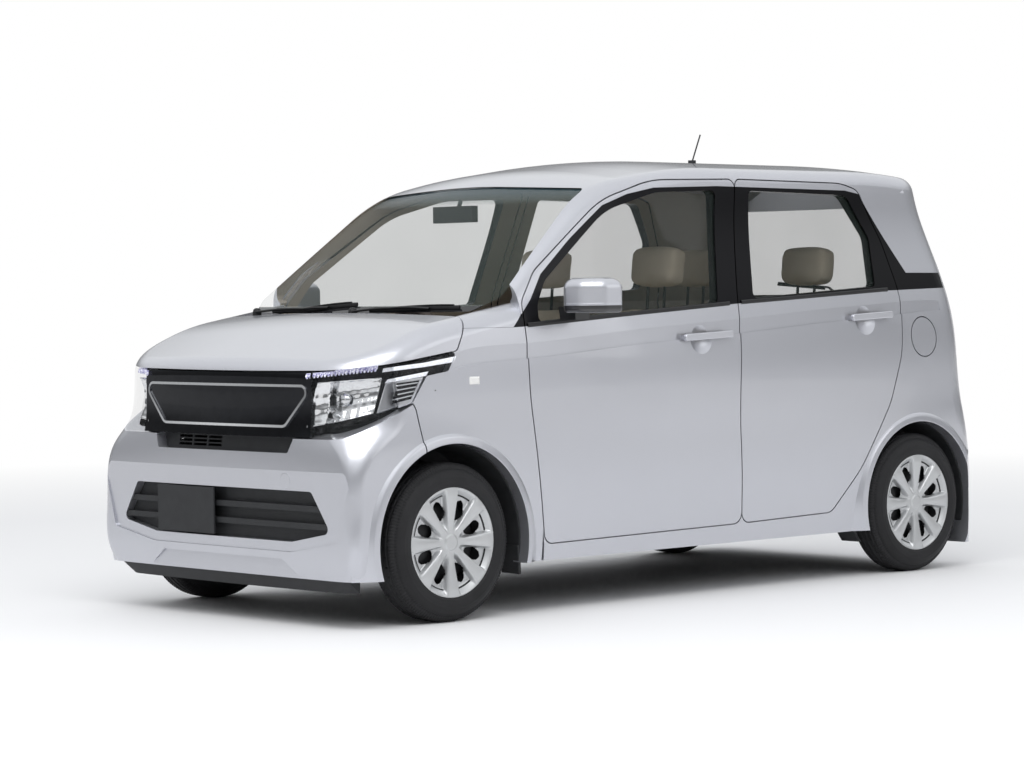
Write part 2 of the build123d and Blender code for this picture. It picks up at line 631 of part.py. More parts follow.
pipe = Part()
for start, end in zip(exhaust_path, exhaust_path[1:]):
    pipe += rod(start, end, exhaust_radius)
pipe += block(-460, -180, 1420, 1600, 190, 320)
pipe += block(-270, -250, 1480, 1500, 310, rear_floor_top - 40)
parts["exhaust"] = pipe

# ---- cabin fittings ---------------------------------------------------------------------------------
dash = extrude(face_of(Plane.YZ, dash_section), 590, both=True)
dash += Pos(driver_x, -640, 1015) * Rot(0, 0, 0) * Box(330, 170, 60)
parts["dashboard"] = dash
rim_plane = Plane(origin=(driver_x, steering_y, steering_z), x_dir=(1, 0, 0),
                  z_dir=(0, cos(radians(wheel_tilt)), sin(radians(wheel_tilt))))
steering = rim_plane * Torus(steering_radius, 14)
steering += rim_plane * Pos(0, 0, -12) * Cylinder(62, 40)
steering += rim_plane * Pos(0, 0, -6) * Box(2 * steering_radius - 10, 34, 14)
steering += rim_plane * Pos(0, -steering_radius / 2, -6) * Box(34, steering_radius - 10, 14)
steering += rim_plane * Pos(0, 0, -75) * Cylinder(24, 110)
parts["steering_wheel"] = steering


def seat_body(center_x, width, cushion_y, rests):
    cushion = extrude(Pos(center_x, 0, 0) * face_of(Plane.YZ, [(y + cushion_y, z, r) for y, z, r in cushion_section]),
                      width / 2, both=True)
    back = extrude(Pos(center_x, 0, 0) * face_of(Plane.YZ, [(y + cushion_y, z, r) for y, z, r in back_section]),
                   width / 2, both=True)
    solid = cushion + back
    for rest_x in rests:
        rest = extrude(Pos(rest_x, 0, 0) * face_of(Plane.YZ, [(y + cushion_y, z, r) for y, z, r in rest_section]),
                       rest_width / 2, both=True)
        solid += rest
        for stay in (-45, 45):
            solid += rod((rest_x + stay, cushion_y + 375, 1080), (rest_x + stay, cushion_y + 388, 1180), 6)
    return solid


front_seat = seat_body(seat_x, front_seat_width, front_seat_y, (seat_x,))
front_seat += block(seat_x - 200, hump_x, tank_y0 + 20, 60, hump_z, 352)
parts["front_seat_left"] = front_seat
rear_seat = seat_body(0, rear_seat_width, rear_seat_y, (-310, 310))
rear_seat = rear_seat - block(-1000, 1000, kick_y - 30, 2000, 0, rear_floor_top)
seat_notch = wheel_cut(rear_axle_y, arch_radius_rear + 32, 478)
parts["rear_seat"] = rear_seat - seat_notch - mirrored(seat_notch)

# ---- outside fittings -------------------------------------------------------------------------------
mirror = Pos(0, 0, mirror_low) * extrude(face_of(Plane.XY, mirror_plan), mirror_high - mirror_low)
mirror = mirror.fillet(38, [e for e in mirror.edges() if (e @ 0.5).Z > mirror_high - 1])
mirror = mirror.fillet(14, [e for e in mirror.edges() if (e @ 0.5).Z < mirror_low + 1])
mirror += block(690, 790, mirror_y - 50, mirror_y + 20, 1044, 1090)
parts["mirror_left"] = mirror - outer_cabin
for name, start, end, face_x in handle_spots:
    parts[name] = parts[name] - handle_bowl(start, end, face_x) + handle(start, end, face_x)

cowl = block(-cowl_half, cowl_half, -1175, firewall_y - firewall_depth, 985, 1060)
parts["cowl_panel"] = cowl & outer_cabin
blades = Part()
for pivot_x, pivot_y, tip_x, tip_y, tip_z in wiper_spots:
    blades += rod((pivot_x, pivot_y, wiper_foot_z), (tip_x, tip_y, tip_z), 7)
parts["wipers"] = blades
parts["antenna"] = Pos(0, antenna_y, 1655 + 9) * Cylinder(16, 18) + rod(
    (0, antenna_y, 1665), (0, antenna_tip_y, antenna_tip_z), 3)
parts["inner_mirror"] = Pos(0, -560, 1440) * Box(220, 30, 62) + rod((0, -555, 1440), (0, -531, 1492), 8)
plate = block(plate_x - 165, plate_x + 165, -1697.4, -1691, 300, 465)
bars = Part()
for height in (350, 410):
    bars += front_prism(((-600, height - 10, 0), (600, height - 10, 0), (600, height + 10, 0), (-600, height + 10, 0)),
                        -1680, -1655) & front_prism(lower_grille_outline, -1690, -1640)
bars += front_prism(lower_grille_outline, -1655, -1648) & front_prism(lower_grille_outline, -1690, -1640)
parts["lower_grille"] = plate + bars + block(plate_x - 20, plate_x + 20, -1692, -1650, 340, 420)

for name in list(parts):
    if name.endswith("_left") and name != "body_side_left":
        parts[name.replace("_left", "_right")] = mirrored(parts[name])

os.makedirs("parts", exist_ok=True)
for name, solid in parts.items():
    export_step(solid, f"parts/{name}.step")
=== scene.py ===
import json
import math

import bmesh
import bpy
import numpy as np
from mathutils import Matrix, Vector


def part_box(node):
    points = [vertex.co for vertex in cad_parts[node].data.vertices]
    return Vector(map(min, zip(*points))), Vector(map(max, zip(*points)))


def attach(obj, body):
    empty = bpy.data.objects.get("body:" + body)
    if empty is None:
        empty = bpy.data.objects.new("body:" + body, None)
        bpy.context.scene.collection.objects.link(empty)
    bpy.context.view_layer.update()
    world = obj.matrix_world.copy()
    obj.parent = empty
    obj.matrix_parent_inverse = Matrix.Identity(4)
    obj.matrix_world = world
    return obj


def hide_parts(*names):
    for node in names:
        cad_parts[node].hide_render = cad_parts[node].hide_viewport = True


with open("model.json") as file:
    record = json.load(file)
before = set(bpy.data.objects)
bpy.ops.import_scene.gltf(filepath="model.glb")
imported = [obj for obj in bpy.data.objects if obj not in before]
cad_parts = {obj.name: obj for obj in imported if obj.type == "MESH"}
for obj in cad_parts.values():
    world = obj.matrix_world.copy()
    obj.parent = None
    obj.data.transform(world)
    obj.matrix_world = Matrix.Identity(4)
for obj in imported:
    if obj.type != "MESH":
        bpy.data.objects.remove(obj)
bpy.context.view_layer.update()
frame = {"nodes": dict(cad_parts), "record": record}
nodes = frame["nodes"]
print("frame loaded:", len(nodes), "nodes")

# the car stands on z = 0, its nose towards -y and its left side towards +x; both sides come from one table
sides = (("left", 1), ("right", -1))
ends = ("front", "rear")


# ---- meshes from arrays ----
def gridFaces(rows, columns, closedRows=False, closedColumns=False):
    # quads between neighbouring points of a rows x columns grid, wrapped round where it is closed
    r = np.arange(rows if closedRows else rows - 1)
    c = np.arange(columns if closedColumns else columns - 1)
    r, c = np.meshgrid(r, c, indexing="ij")
    below, beside = (r + 1) % rows, (c + 1) % columns
    quads = np.stack([r * columns + c, below * columns + c, below * columns + beside, r * columns + beside], -1)
    return quads.reshape(-1, 4)


def coords(mesh, key="co"):
    flat = np.empty(len(mesh.vertices) * 3, np.float32)
    mesh.vertices.foreach_get(key, flat)
    return flat.reshape(-1, 3).astype(float)


def linked(name, data):
    made = bpy.data.objects.new(name, data)
    bpy.context.scene.collection.objects.link(made)
    return made


def piece(name, points, faces, material, body, slotName, wall=0.0, bevel=0.0):
    # an object at the origin whose mesh holds its place, joined at doubles and turned outwards
    mesh = bpy.data.meshes.new(name)
    points = np.ascontiguousarray(points, np.float32).reshape(-1, 3)
    faces = np.ascontiguousarray(faces, np.int32)
    mesh.vertices.add(len(points))
    mesh.vertices.foreach_set("co", points.ravel())
    mesh.loops.add(faces.size)
    mesh.loops.foreach_set("vertex_index", faces.ravel())
    mesh.polygons.add(len(faces))
    mesh.polygons.foreach_set("loop_start", np.arange(0, faces.size, faces.shape[1], dtype=np.int32))
    mesh.update(calc_edges=True)
    mesh.validate()
    work = bmesh.new()
    work.from_mesh(mesh)
    bmesh.ops.remove_doubles(work, verts=work.verts, dist=1e-6)
    bmesh.ops.recalc_face_normals(work, faces=work.faces)
    work.to_mesh(mesh)
    work.free()
    mesh.shade_smooth()
    mesh.materials.append(material)
    made = linked(name, mesh)
    if wall:
        thick = made.modifiers.new("wall", "SOLIDIFY")
        thick.thickness = wall
        thick.offset = -1
    if bevel:
        edge = made.modifiers.new("edge", "BEVEL")
        edge.width = bevel
        edge.segments = 2
        edge.limit_method = "ANGLE"
    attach(made, body)
    return made


def turned(profile, steps, centre, axis="x"):
    # a profile of (along, radius) pairs turned about an axis: along + centre, radius cos, radius sin
    along, radius = np.array(profile, float).T
    angle = np.arange(steps) * 2 * np.pi / steps
    ones = np.ones((steps, 1))
    a = ones * along
    u, v = np.cos(angle)[:, None] * radius, np.sin(angle)[:, None] * radius
    stack = {"x": (a, u, v), "y": (u, a, v), "z": (u, v, a)}[axis]
    return np.stack(stack, -1) + np.array(centre), gridFaces(steps, len(along), closedRows=True)


def pill(size, power, centre, rows=24, columns=40):
    # a superellipsoid: each of its three coordinates is a cosine or sine raised to a power below one
    u = np.linspace(-np.pi / 2, np.pi / 2, rows)[:, None]
    v = np.linspace(0, 2 * np.pi, columns, endpoint=False)[None, :]

    def bent(value):
        return np.sign(value) * np.abs(value) ** power

    x = bent(np.cos(u)) * bent(np.cos(v))
    y = bent(np.cos(u)) * bent(np.sin(v))
    z = bent(np.sin(u)) * np.ones_like(v)
    points = np.stack([x, y, z], -1) * np.array(size) / 2 + np.array(centre)
    return points, gridFaces(rows, columns, closedColumns=True)


def square(rows, columns):
    # v down the rows and u along the columns, both from -1 to 1
    return np.meshgrid(np.linspace(-1, 1, rows), np.linspace(-1, 1, columns), indexing="ij")


def alongPath(profile, path, up=(0, 0, 1), closed=False):
    # a flat profile of (across, upward) carried along a path, square to its direction at each point
    path = np.array(path, float)
    ahead = np.roll(path, -1, 0) - np.roll(path, 1, 0)
    if not closed:
        ahead[0], ahead[-1] = path[1] - path[0], path[-1] - path[-2]
    ahead /= np.linalg.norm(ahead, axis=1)[:, None]
    across = np.cross(ahead, np.array(up, float))
    across /= np.linalg.norm(across, axis=1)[:, None]
    upward = np.cross(across, ahead)
    profile = np.array(profile, float)
    points = path[:, None] + across[:, None] * profile[None, :, :1] + upward[:, None] * profile[None, :, 1:]
    return points, gridFaces(len(path), len(profile), closedRows=closed, closedColumns=True)


def ring(radiusA, radiusB, steps=12):
    # an oval section: radiusA cosine, radiusB sine
    angle = np.arange(steps) * 2 * np.pi / steps
    return np.stack([np.cos(angle) * radiusA, np.sin(angle) * radiusB], -1)


def joined(*shapes):
    # several (points, faces) pairs as one
    allPoints, allFaces, start = [], [], 0
    for points, faces in shapes:
        points = np.asarray(points).reshape(-1, 3)
        allPoints.append(points)
        allFaces.append(faces + start)
        start += len(points)
    return np.concatenate(allPoints), np.concatenate(allFaces)


def flipped(shape, sign):
    # the shape itself for the left side and its mirror image in x for the right
    points, faces = shape
    return np.asarray(points) * np.array([sign, 1, 1]), faces


def pair(name, shape, material, body, slotName, **how):
    # the left side's shape and its mirror image; the brackets in the name and the body take the side
    for side, sign in sides:
        piece(name.format(side.title()), *flipped(shape, sign), material, body.format(side), slotName, **how)


# ---- finishes ----
def mathsOf(operation, swapped=False):
    # an operator that adds one Math node; the reflected form has its two values swapped
    if swapped:
        return lambda wave, other: wave.maths(operation, other, wave)
    return lambda wave, other: wave.maths(operation, wave, other)


class Wave:
    # a socket whose sums, products and comparisons add Math nodes
    def __init__(self, finish, socket):
        self.finish = finish
        self.socket = socket

    def maths(self, operation, *values):
        return self.finish.node("ShaderNodeMath", {"operation": operation}, values)

    __add__, __radd__ = mathsOf("ADD"), mathsOf("ADD", True)
    __sub__, __rsub__ = mathsOf("SUBTRACT"), mathsOf("SUBTRACT", True)
    __mul__, __rmul__ = mathsOf("MULTIPLY"), mathsOf("MULTIPLY", True)
    __truediv__, __pow__ = mathsOf("DIVIDE"), mathsOf("POWER")

    def fn(self, operation, *values):
        return self.maths(operation, self, *values)

    def clamp(self, low=0.0, high=1.0):
        return self.fn("MAXIMUM", low).fn("MINIMUM", high)

    def above(self, level, soft=0.001):
        # 0 below the level and 1 above it, with a ramp as wide as soft
        return ((self - level) / soft + 0.5).clamp()

    def below(self, level, soft=0.001):
        return 1 - self.above(level, soft)

    def within(self, low, high, soft=0.001):
        return self.above(low, soft) * self.below(high, soft)

    def along(self, stops):
        # a height that follows straight stretches between (position, height) stops
        total = None
        for (a, low), (b, high) in zip(stops, stops[1:]):
            part = (self - a).clamp(0.0, b - a) * ((high - low) / (b - a))
            total = part if total is None else total + part
        return total + stops[0][1]


class Finish:
    # one material: its Principled shader, and a method that adds any other node
    def __init__(self, name, **shader):
        self.material = bpy.data.materials.new(name)
        self.material.use_nodes = True
        self.tree = self.material.node_tree
        self.shader = self.tree.nodes["Principled BSDF"]
        self.set(**shader)
        self.place = self.node("ShaderNodeTexCoord", {}, {}, out="Object")
        self.facing = Wave(self, self.place.socket.node.outputs["Normal"])

    def feed(self, socket, value):
        if isinstance(value, Wave):
            self.tree.links.new(value.socket, socket)
        elif value is not None:
            socket.default_value = value

    def node(self, kind, settings, sockets, out=0):
        made = self.tree.nodes.new(kind)
        for key, value in settings.items():
            if key == "stops":
                self.stops(made.color_ramp.elements, value)
            else:
                setattr(made, key, value)
        pairs = sockets.items() if isinstance(sockets, dict) else enumerate(sockets)
        for key, value in pairs:
            self.feed(made.inputs[key], value)
        return Wave(self, made.outputs[out])

    def stops(self, elements, stops):
        while len(elements) < len(stops):
            elements.new(0.5)
        for element, (position, colour) in zip(elements, stops):
            element.position, element.color = position, colour

    def axes(self, vector=None):
        split = self.node("ShaderNodeSeparateXYZ", {}, [vector or self.place])
        return [Wave(self, socket) for socket in split.socket.node.outputs]

    def noise(self, scale, detail=2.0):
        return self.node("ShaderNodeTexNoise", {}, {
            "Vector": self.place, "Scale": scale, "Detail": detail, "Roughness": 0.5})

    def cells(self, scale):
        return self.node("ShaderNodeTexVoronoi", {"feature": "F1"}, {"Vector": self.place, "Scale": scale})

    def mix(self, factor, a, b):
        return self.node("ShaderNodeMix", {"data_type": "RGBA"}, {0: factor, 6: a, 7: b}, out=2)

    def pick(self, factor, a, b):
        # a number between a and b
        return a + (b - a) * factor

    def set(self, **sockets):
        for name, value in sockets.items():
            self.feed(self.shader.inputs[name.replace("_", " ")], value)

    def bump(self, height, distance=0.001, strength=1.0):
        normal = self.node("ShaderNodeBump", {}, {"Strength": strength, "Distance": distance, "Height": height})
        self.feed(self.shader.inputs["Normal"], normal)


def rgb(r, g, b):
    return (r, g, b, 1.0)


paint = {
    "silver": rgb(0.50, 0.508, 0.550),
    "flake": rgb(0.64, 0.650, 0.695),
    "shadow": rgb(0.41, 0.416, 0.458),
    "rough": 0.34,
    "metal": 0.80,
    "glossBlack": rgb(0.016, 0.016, 0.018),
    "inside": rgb(0.30, 0.26, 0.21),
}

# what is black on the sides: between the waist line and the line along the top of the window seals, as y and z
trimLines = {
    "waist": ((-0.930, 1.020), (-0.873, 1.022), (-0.367, 1.055), (0.238, 1.091), (1.121, 1.133), (1.700, 1.147)),
    "seal": ((-0.930, 1.021), (-0.830, 1.118), (-0.760, 1.208), (-0.590, 1.333), (-0.395, 1.460), (-0.260, 1.503),
             (-0.115, 1.529), (0.230, 1.540), (0.985, 1.534), (1.066, 1.521), (1.287, 1.205), (1.700, 1.203)),
}


def flaked(finish):
    # silver flakes a fifth of a millimetre wide, as their pattern, colour and roughness
    flakes = finish.noise(5200.0, 1.0)
    colour = finish.mix(flakes.above(0.56, 0.16), paint["silver"], paint["flake"])
    return flakes, colour, paint["rough"] + (flakes - 0.5) * 0.12


def sidePaint(name, dark=True, inside=True):
    # flakes in faint clouds; gloss black between the trim lines; the cabin's colour on what faces the cabin
    finish = Finish(name, Coat_Weight=1.0, Coat_Roughness=0.05)
    flakes, colour, rough = flaked(finish)
    cloud = finish.noise(2.2, 2.0)
    colour = finish.mix(cloud.above(0.62, 0.5) * 0.12, colour, paint["shadow"])
    metal = paint["metal"]
    x, y, z = finish.axes()
    if dark:
        black = (z - y.along(trimLines["waist"])).above(0) * (y.along(trimLines["seal"]) - z).above(0)
        black = black * x.fn("ABSOLUTE").above(0.5)
        colour = finish.mix(black, colour, paint["glossBlack"])
        rough = finish.pick(black, rough, 0.30)
        metal = finish.pick(black, metal, 1.0)
        finish.set(Coat_Weight=1 - black * 0.9)
    if inside:
        inward = (finish.axes(finish.facing)[0] * x).below(-0.15, 0.02)
        colour = finish.mix(inward, colour, paint["inside"])
        rough = finish.pick(inward, rough, 0.75)
        metal = finish.pick(inward, metal, 0.0)
    finish.set(Base_Color=colour, Roughness=rough, Metallic=metal)
    return finish.material


def grained(name, colour, rough, grain=900.0, depth=0.00012):
    # moulded plastic: a fine leather grain with slightly uneven gloss
    finish = Finish(name, Specular_IOR_Level=0.28)
    patches = finish.noise(24.0, 3.0)
    light = [min(1.0, c * 1.35 + 0.004) for c in colour[:3]]
    finish.set(Base_Color=finish.mix(patches.above(0.5, 0.6), colour, rgb(*light)),
               Roughness=rough + (patches - 0.5) * 0.12)
    finish.bump(finish.cells(grain), depth)
    return finish.material


def glossBlack():
    # piano black: dark from the front and bright only at a low angle
    finish = Finish("glossBlack", Metallic=1.0, Coat_Weight=0.12, Coat_Roughness=0.02)
    patches = finish.noise(30.0, 2.0)
    finish.set(Base_Color=finish.mix(patches, rgb(0.018, 0.019, 0.022), rgb(0.0288, 0.0304, 0.0352)),
               Roughness=0.16 + patches * 0.06)
    return finish.material


def glassOf(name, tint, alpha, rough=0.02):
    finish = Finish(name, Roughness=rough, IOR=1.5)
    waver = finish.noise(3.0, 1.0)
    finish.set(Base_Color=finish.mix(waver, tint, rgb(*[min(1, c * 1.25) for c in tint[:3]])),
               Alpha=alpha + (waver - 0.5) * 0.04)
    return finish.material


screenBand = {
    "top": 1.475,       # where the shade band begins
    "frit": 1.098,      # the black printed edge along the cowl
}


def windscreenGlass():
    # pale green glass with a darker blue-green band at the top and a black edge at the foot
    finish = Finish("windscreenGlass", Roughness=0.02, IOR=1.5)
    x, y, z = finish.axes()
    band = z.above(screenBand["top"] + 0.02, 0.05)
    frit = z.below(screenBand["frit"], 0.004)
    waver = finish.noise(3.0, 1.0)
    colour = finish.mix(band, rgb(0.10, 0.14, 0.125), rgb(0.030, 0.062, 0.075))
    colour = finish.mix(frit, colour, paint["glossBlack"])
    alpha = finish.pick(band, 0.10, 0.60) + (waver - 0.5) * 0.03
    finish.set(Base_Color=colour, Alpha=finish.pick(frit, alpha, 1.0))
    return finish.material


def rubberTyre():
    finish = Finish("tyreRubber", Specular_IOR_Level=0.25)
    fine = finish.noise(420.0, 3.0)
    dust = finish.noise(9.0, 3.0)
    finish.set(Base_Color=finish.mix(dust, rgb(0.010, 0.010, 0.011), rgb(0.024, 0.024, 0.026)),
               Roughness=0.60 + (fine - 0.5) * 0.2)
    finish.bump(fine, 0.0002)
    return finish.material


def metalOf(name, colour, rough, metallic=1.0, streak=160.0):
    finish = Finish(name, Metallic=metallic)
    streaks = finish.noise(streak, 4.0)
    finish.set(Base_Color=finish.mix(streaks, rgb(*[c * 0.85 for c in colour[:3]]), colour),
               Roughness=rough + (streaks - 0.5) * min(0.2, rough))
    return finish.material


def clothOf(name, colour, dark):
    # a woven cloth: fine cells over soft blotches
    finish = Finish(name, Roughness=0.9)
    weave = finish.cells(1400.0)
    blotch = finish.noise(14.0, 3.0)
    finish.set(Base_Color=finish.mix((weave * 0.5 + blotch * 0.6).clamp(), colour, dark))
    finish.bump(weave, 0.0006)
    return finish.material


finishes = {
    "silver_paint": sidePaint("silverPaint"),
    "black_trim": glossBlack(),
    "bright_trim": metalOf("brightTrim", rgb(0.86, 0.87, 0.89), 0.08),
    "dark_plastic": grained("darkPlastic", rgb(0.022, 0.023, 0.025), 0.55),
    "lamp_lens": glassOf("lampLens", rgb(0.08, 0.085, 0.09), 0.08),
    "tail_lens": grained("tailLens", rgb(0.35, 0.012, 0.012), 0.12, 90.0),
    "window_glass": glassOf("windowGlass", rgb(0.030, 0.042, 0.038), 0.17),
    "tyre": rubberTyre(),
    "wheel_cover": metalOf("wheelSilver", rgb(0.60, 0.61, 0.62), 0.38, 0.75, 900.0),
    "steel": metalOf("chassisSteel", rgb(0.05, 0.05, 0.052), 0.5, 0.8),
    "primer": grained("underbodyPaint", rgb(0.030, 0.031, 0.033), 0.7, 300.0),
    "beige_cloth": clothOf("beigeCloth", rgb(0.82, 0.74, 0.60), rgb(0.66, 0.57, 0.44)),
    "cabin_plastic": grained("cabinPlastic", rgb(0.075, 0.062, 0.055), 0.6),
}
for entry in frame["record"]["subparts"]:
    node = nodes[entry["node"]]
    node.data.materials.clear()
    node.data.materials.append(finishes[entry["material_slot"]])
nodes["windscreen"].data.materials[0] = windscreenGlass()
bodyPaint = sidePaint("bodyPaint", dark=False, inside=False)
fenderPaint = sidePaint("fenderPaint", inside=False)
for name, material in (("front_bumper", bodyPaint), ("rear_bumper", bodyPaint), ("bonnet", bodyPaint),
                       ("front_fender_left", fenderPaint), ("front_fender_right", fenderPaint)):
    nodes[name].data.materials[0] = material
print("finishes made:", len(finishes))


# ---- wheels ----
tyre = {
    "radius": 0.27855,
    "width": 0.155,
    "seat": 0.1778,                  # the bead's radius
    "bulge": 0.022,                  # how far the wall swells past the bead
    "rings": ((0.26, 0.04, 0.0018), (0.62, 0.03, 0.0014)),   # raised rings: place up the wall, width and height
    "shoulder": 0.020,
    "grooves": (-0.036, -0.012, 0.012, 0.036),
    "grooveHalf": 0.0042,
    "grooveDepth": 0.006,
    "sipes": 150,
    "sipeDepth": 0.0040,
    "blockDepth": 0.0045,
}


def tyreShape():
    # a closed profile turned about x: a flat tread, round shoulders and a bulged wall with raised rings; each radius
    # is lowered at the grooves, at the sipes on the shoulders and at every third sipe between the blocks
    half, top, seat, shoulder = tyre["width"] / 2, tyre["radius"], tyre["seat"], tyre["shoulder"]
    s = np.linspace(0, 1, 31)
    wallX = half - tyre["bulge"] + tyre["bulge"] * np.sin(np.pi * s) ** 0.75
    wallX += sum(height * np.exp(-((s - at) / wide) ** 2) for at, wide, height in tyre["rings"])
    wallX = np.minimum(wallX, half)
    wallR = seat + (top - shoulder - seat) * s
    bend = np.linspace(0.12, np.pi / 2, 9)[:-1]
    shoulderX = wallX[-1] - shoulder * (1 - np.cos(bend))
    shoulderR = top - shoulder + shoulder * np.sin(bend)
    flatX = np.linspace(shoulderX[-1] - 0.002, -(shoulderX[-1] - 0.002), 35)
    flatR = top - 0.0016 * (flatX / flatX[0]) ** 2
    x = np.concatenate([wallX, shoulderX, flatX, -shoulderX[::-1], -wallX[::-1]])
    r = np.concatenate([wallR, shoulderR, flatR, shoulderR[::-1], wallR[::-1]])
    step = np.arange(tyre["sipes"] * 5)[:, None]
    angle = step * 2 * np.pi / len(step)
    onTread = r > top - 0.004
    groove = sum(np.clip(1 - np.abs(x - at) / tyre["grooveHalf"], 0, 1) for at in tyre["grooves"]) * onTread
    onShoulder = np.clip((np.abs(x) - 0.040) / 0.006, 0, 1) * np.clip((r - top + 0.026) / 0.008, 0, 1)
    sipe = (step % 5 < 2) * onShoulder
    blocks = (step % 15 < 2) * np.clip(1 - np.abs(np.abs(x) - 0.024) / 0.010, 0, 1) * onTread
    low = tyre["grooveDepth"] * np.clip(groove[None] * 1.6, 0, 1) + tyre["sipeDepth"] * sipe
    radius = r[None] - (low + tyre["blockDepth"] * blocks)
    points = np.stack([x + 0 * angle, np.cos(angle) * radius, np.sin(angle) * radius], -1)
    return points, gridFaces(len(step), len(x), closedRows=True, closedColumns=True)


cover = {
    "radius": 0.1945,
    "spokes": 8,
    "face": 0.0705,       # the rim ring's distance from the wheel's middle plane
    "dish": 0.010,        # how far the spokes fall from the rim ring to the hub
    "cap": 0.0035,        # how far the hub's cap stands out
    "pocket": 0.021,
    "crown": 0.0025,      # how far a spoke's middle stands above its edges
    "crease": 0.0011,
    "lip": 0.004,
    "spokeAt": (0.0, 0.045, 0.10, 0.17, 0.20),
    "spokeHalf": (0.008, 0.0095, 0.0165, 0.0255, 0.0300),
    "windowAt": 0.1165,
    "windowHalf": (0.0365, 0.0232),      # along the radius and across it
}


def softStep(value, low, high):
    t = np.clip((value - low) / (high - low), 0, 1)
    return t * t * (3 - 2 * t)


def coverShape():
    # a disc on a polar grid whose x falls from the rim ring to the hub; between the spokes it sinks into pockets, and
    # the quads inside each pocket's oval window are left out
    steps, rows = cover["spokes"] * 72, 100
    radius = np.linspace(0.0005, cover["radius"], rows)[:, None]
    angle = np.arange(steps)[None] * 2 * np.pi / steps
    pitch = 2 * np.pi / cover["spokes"]
    lateral = np.abs(radius * np.sin((angle + pitch / 2) % pitch - pitch / 2))
    spokeHalf = np.interp(radius, cover["spokeAt"], cover["spokeHalf"])
    aside = softStep(lateral, spokeHalf - 0.001, spokeHalf + 0.009)
    sink = cover["pocket"] * softStep(radius, 0.036, 0.075) * (1 - softStep(radius, 0.158, 0.190))
    base = cover["face"] - cover["dish"] * (1 - softStep(radius, 0.03, 0.19))
    base += cover["cap"] * (1 - softStep(radius, 0.024, 0.031))
    base -= cover["lip"] * softStep(radius, 0.190, cover["radius"])
    creases = cover["crease"] * np.exp(-((lateral - spokeHalf + 0.004) / 0.0012) ** 2) * softStep(radius, 0.08, 0.12)
    crown = cover["crown"] * (1 - np.clip(lateral / spokeHalf, 0, 1) ** 2)
    crown = crown * softStep(radius, 0.05, 0.09) * (1 - softStep(radius, 0.16, 0.19))
    x = base + crown - sink * aside + creases
    points = np.stack([x, np.cos(angle) * radius, np.sin(angle) * radius], -1)
    middle = (np.arange(steps)[None] + 0.5) * 2 * np.pi / steps
    offset = middle % pitch - pitch / 2
    between = (radius[:-1] + radius[1:]) / 2
    length, width = cover["windowHalf"]
    reach = (between - cover["windowAt"]) / length
    width = width * np.sqrt(np.clip(1 - reach ** 2, 0, 1)) * (0.90 + 0.16 * np.clip(reach, -1, 1))
    solid = (np.abs(between * np.sin(offset)) > width) | (np.abs(reach) > 1)
    return points, gridFaces(rows, steps, closedColumns=True)[solid.ravel()]


def rimShape():
    # the pressed rim behind the cover, turned about x: barrel, bead seat and the wall that carries the hub
    profile = ((0.0560, 0.1785), (0.0545, 0.1650), (0.0300, 0.1600), (0.0100, 0.1480), (-0.0300, 0.1480),
               (-0.0520, 0.1620), (-0.0550, 0.1780), (-0.0575, 0.1780), (-0.0545, 0.1600), (-0.0300, 0.1455),
               (0.0100, 0.1450), (0.0250, 0.1250), (0.0200, 0.0700), (0.0300, 0.0400), (0.0300, 0.0005))
    return turned(profile, 72, (0, 0, 0))


wheelShapes = (("Tyre", tyreShape(), finishes["tyre"], "tyre", 0.0),
               ("Cover", coverShape(), finishes["wheel_cover"], "wheel_cover", 0.0022),
               ("Rim", rimShape(), metalOf("rimDark", rgb(0.035, 0.035, 0.037), 0.5, 0.6), "steel", 0.0))
for side, sign in sides:
    for end in ends:
        low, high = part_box(f"{end}_tyre_{side}")
        centre = np.array((low + high) / 2)
        for label, shape, material, slotName, wall in wheelShapes:
            points, faces = flipped(shape, sign)
            made = piece(end + side.title() + label, points + centre, faces, material, f"{end}_road_wheel_{side}",
                         slotName, wall=wall)
            if label == "Tyre":
                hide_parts(f"{end}_tyre_{side}")
            if label == "Cover":
                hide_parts(f"{end}_wheel_{side}")
print("wheels made")


# ---- placing pieces on the panels ----
def triangles(*names):
    # the corners of every triangle of the named CAD nodes
    found = []
    for name in names:
        mesh = nodes[name].data
        mesh.calc_loop_triangles()
        corners = np.empty(len(mesh.loop_triangles) * 3, np.int32)
        mesh.loop_triangles.foreach_get("vertices", corners)
        found.append(coords(mesh)[corners].reshape(-1, 3, 3))
    return np.concatenate(found)


def landed(points, direction, *names, sunk=0.0):
    # every point moves along the direction to the first triangle it meets, and on by the sunk depth. A point that
    # meets none goes as far as its nearest neighbour that does. All points meet all triangles as matrix products
    points = np.asarray(points, float)
    start = points.reshape(-1, 3)
    ahead = np.array(direction, float) / np.linalg.norm(direction)
    a, b, c = triangles(*names).transpose(1, 0, 2)
    one, two = b - a, c - a
    p, q, n = np.cross(ahead, two), np.cross(one, ahead), np.cross(one, two)
    size = (one * p).sum(1)
    kept = np.abs(size) > 1e-12
    a, p, q, n, size = a[kept], p[kept], q[kept], n[kept], size[kept]
    u, v, far = ((start @ w.T - (a * w).sum(1)) / size for w in (p, q, n))
    far = np.where((u > -1e-6) & (v > -1e-6) & (u + v < 1 + 1e-6) & (far > 0), far, np.inf).min(1)
    met = np.isfinite(far)
    gaps = ((start[~met][:, None] - start[met][None]) ** 2).sum(-1)
    far[~met] = far[met][gaps.argmin(1)]
    return points + ahead * (far.reshape(points.shape[:-1]) + sunk)[..., None]


def spread(stops, count):
    # that many points evenly along a line of straight stretches
    stops = np.array(stops, float)
    gone = np.concatenate([[0], np.cumsum(np.linalg.norm(np.diff(stops, axis=0), axis=1))])
    at = np.linspace(0, gone[-1], count)
    return np.stack([np.interp(at, gone, stops[:, i]) for i in range(stops.shape[1])], -1)


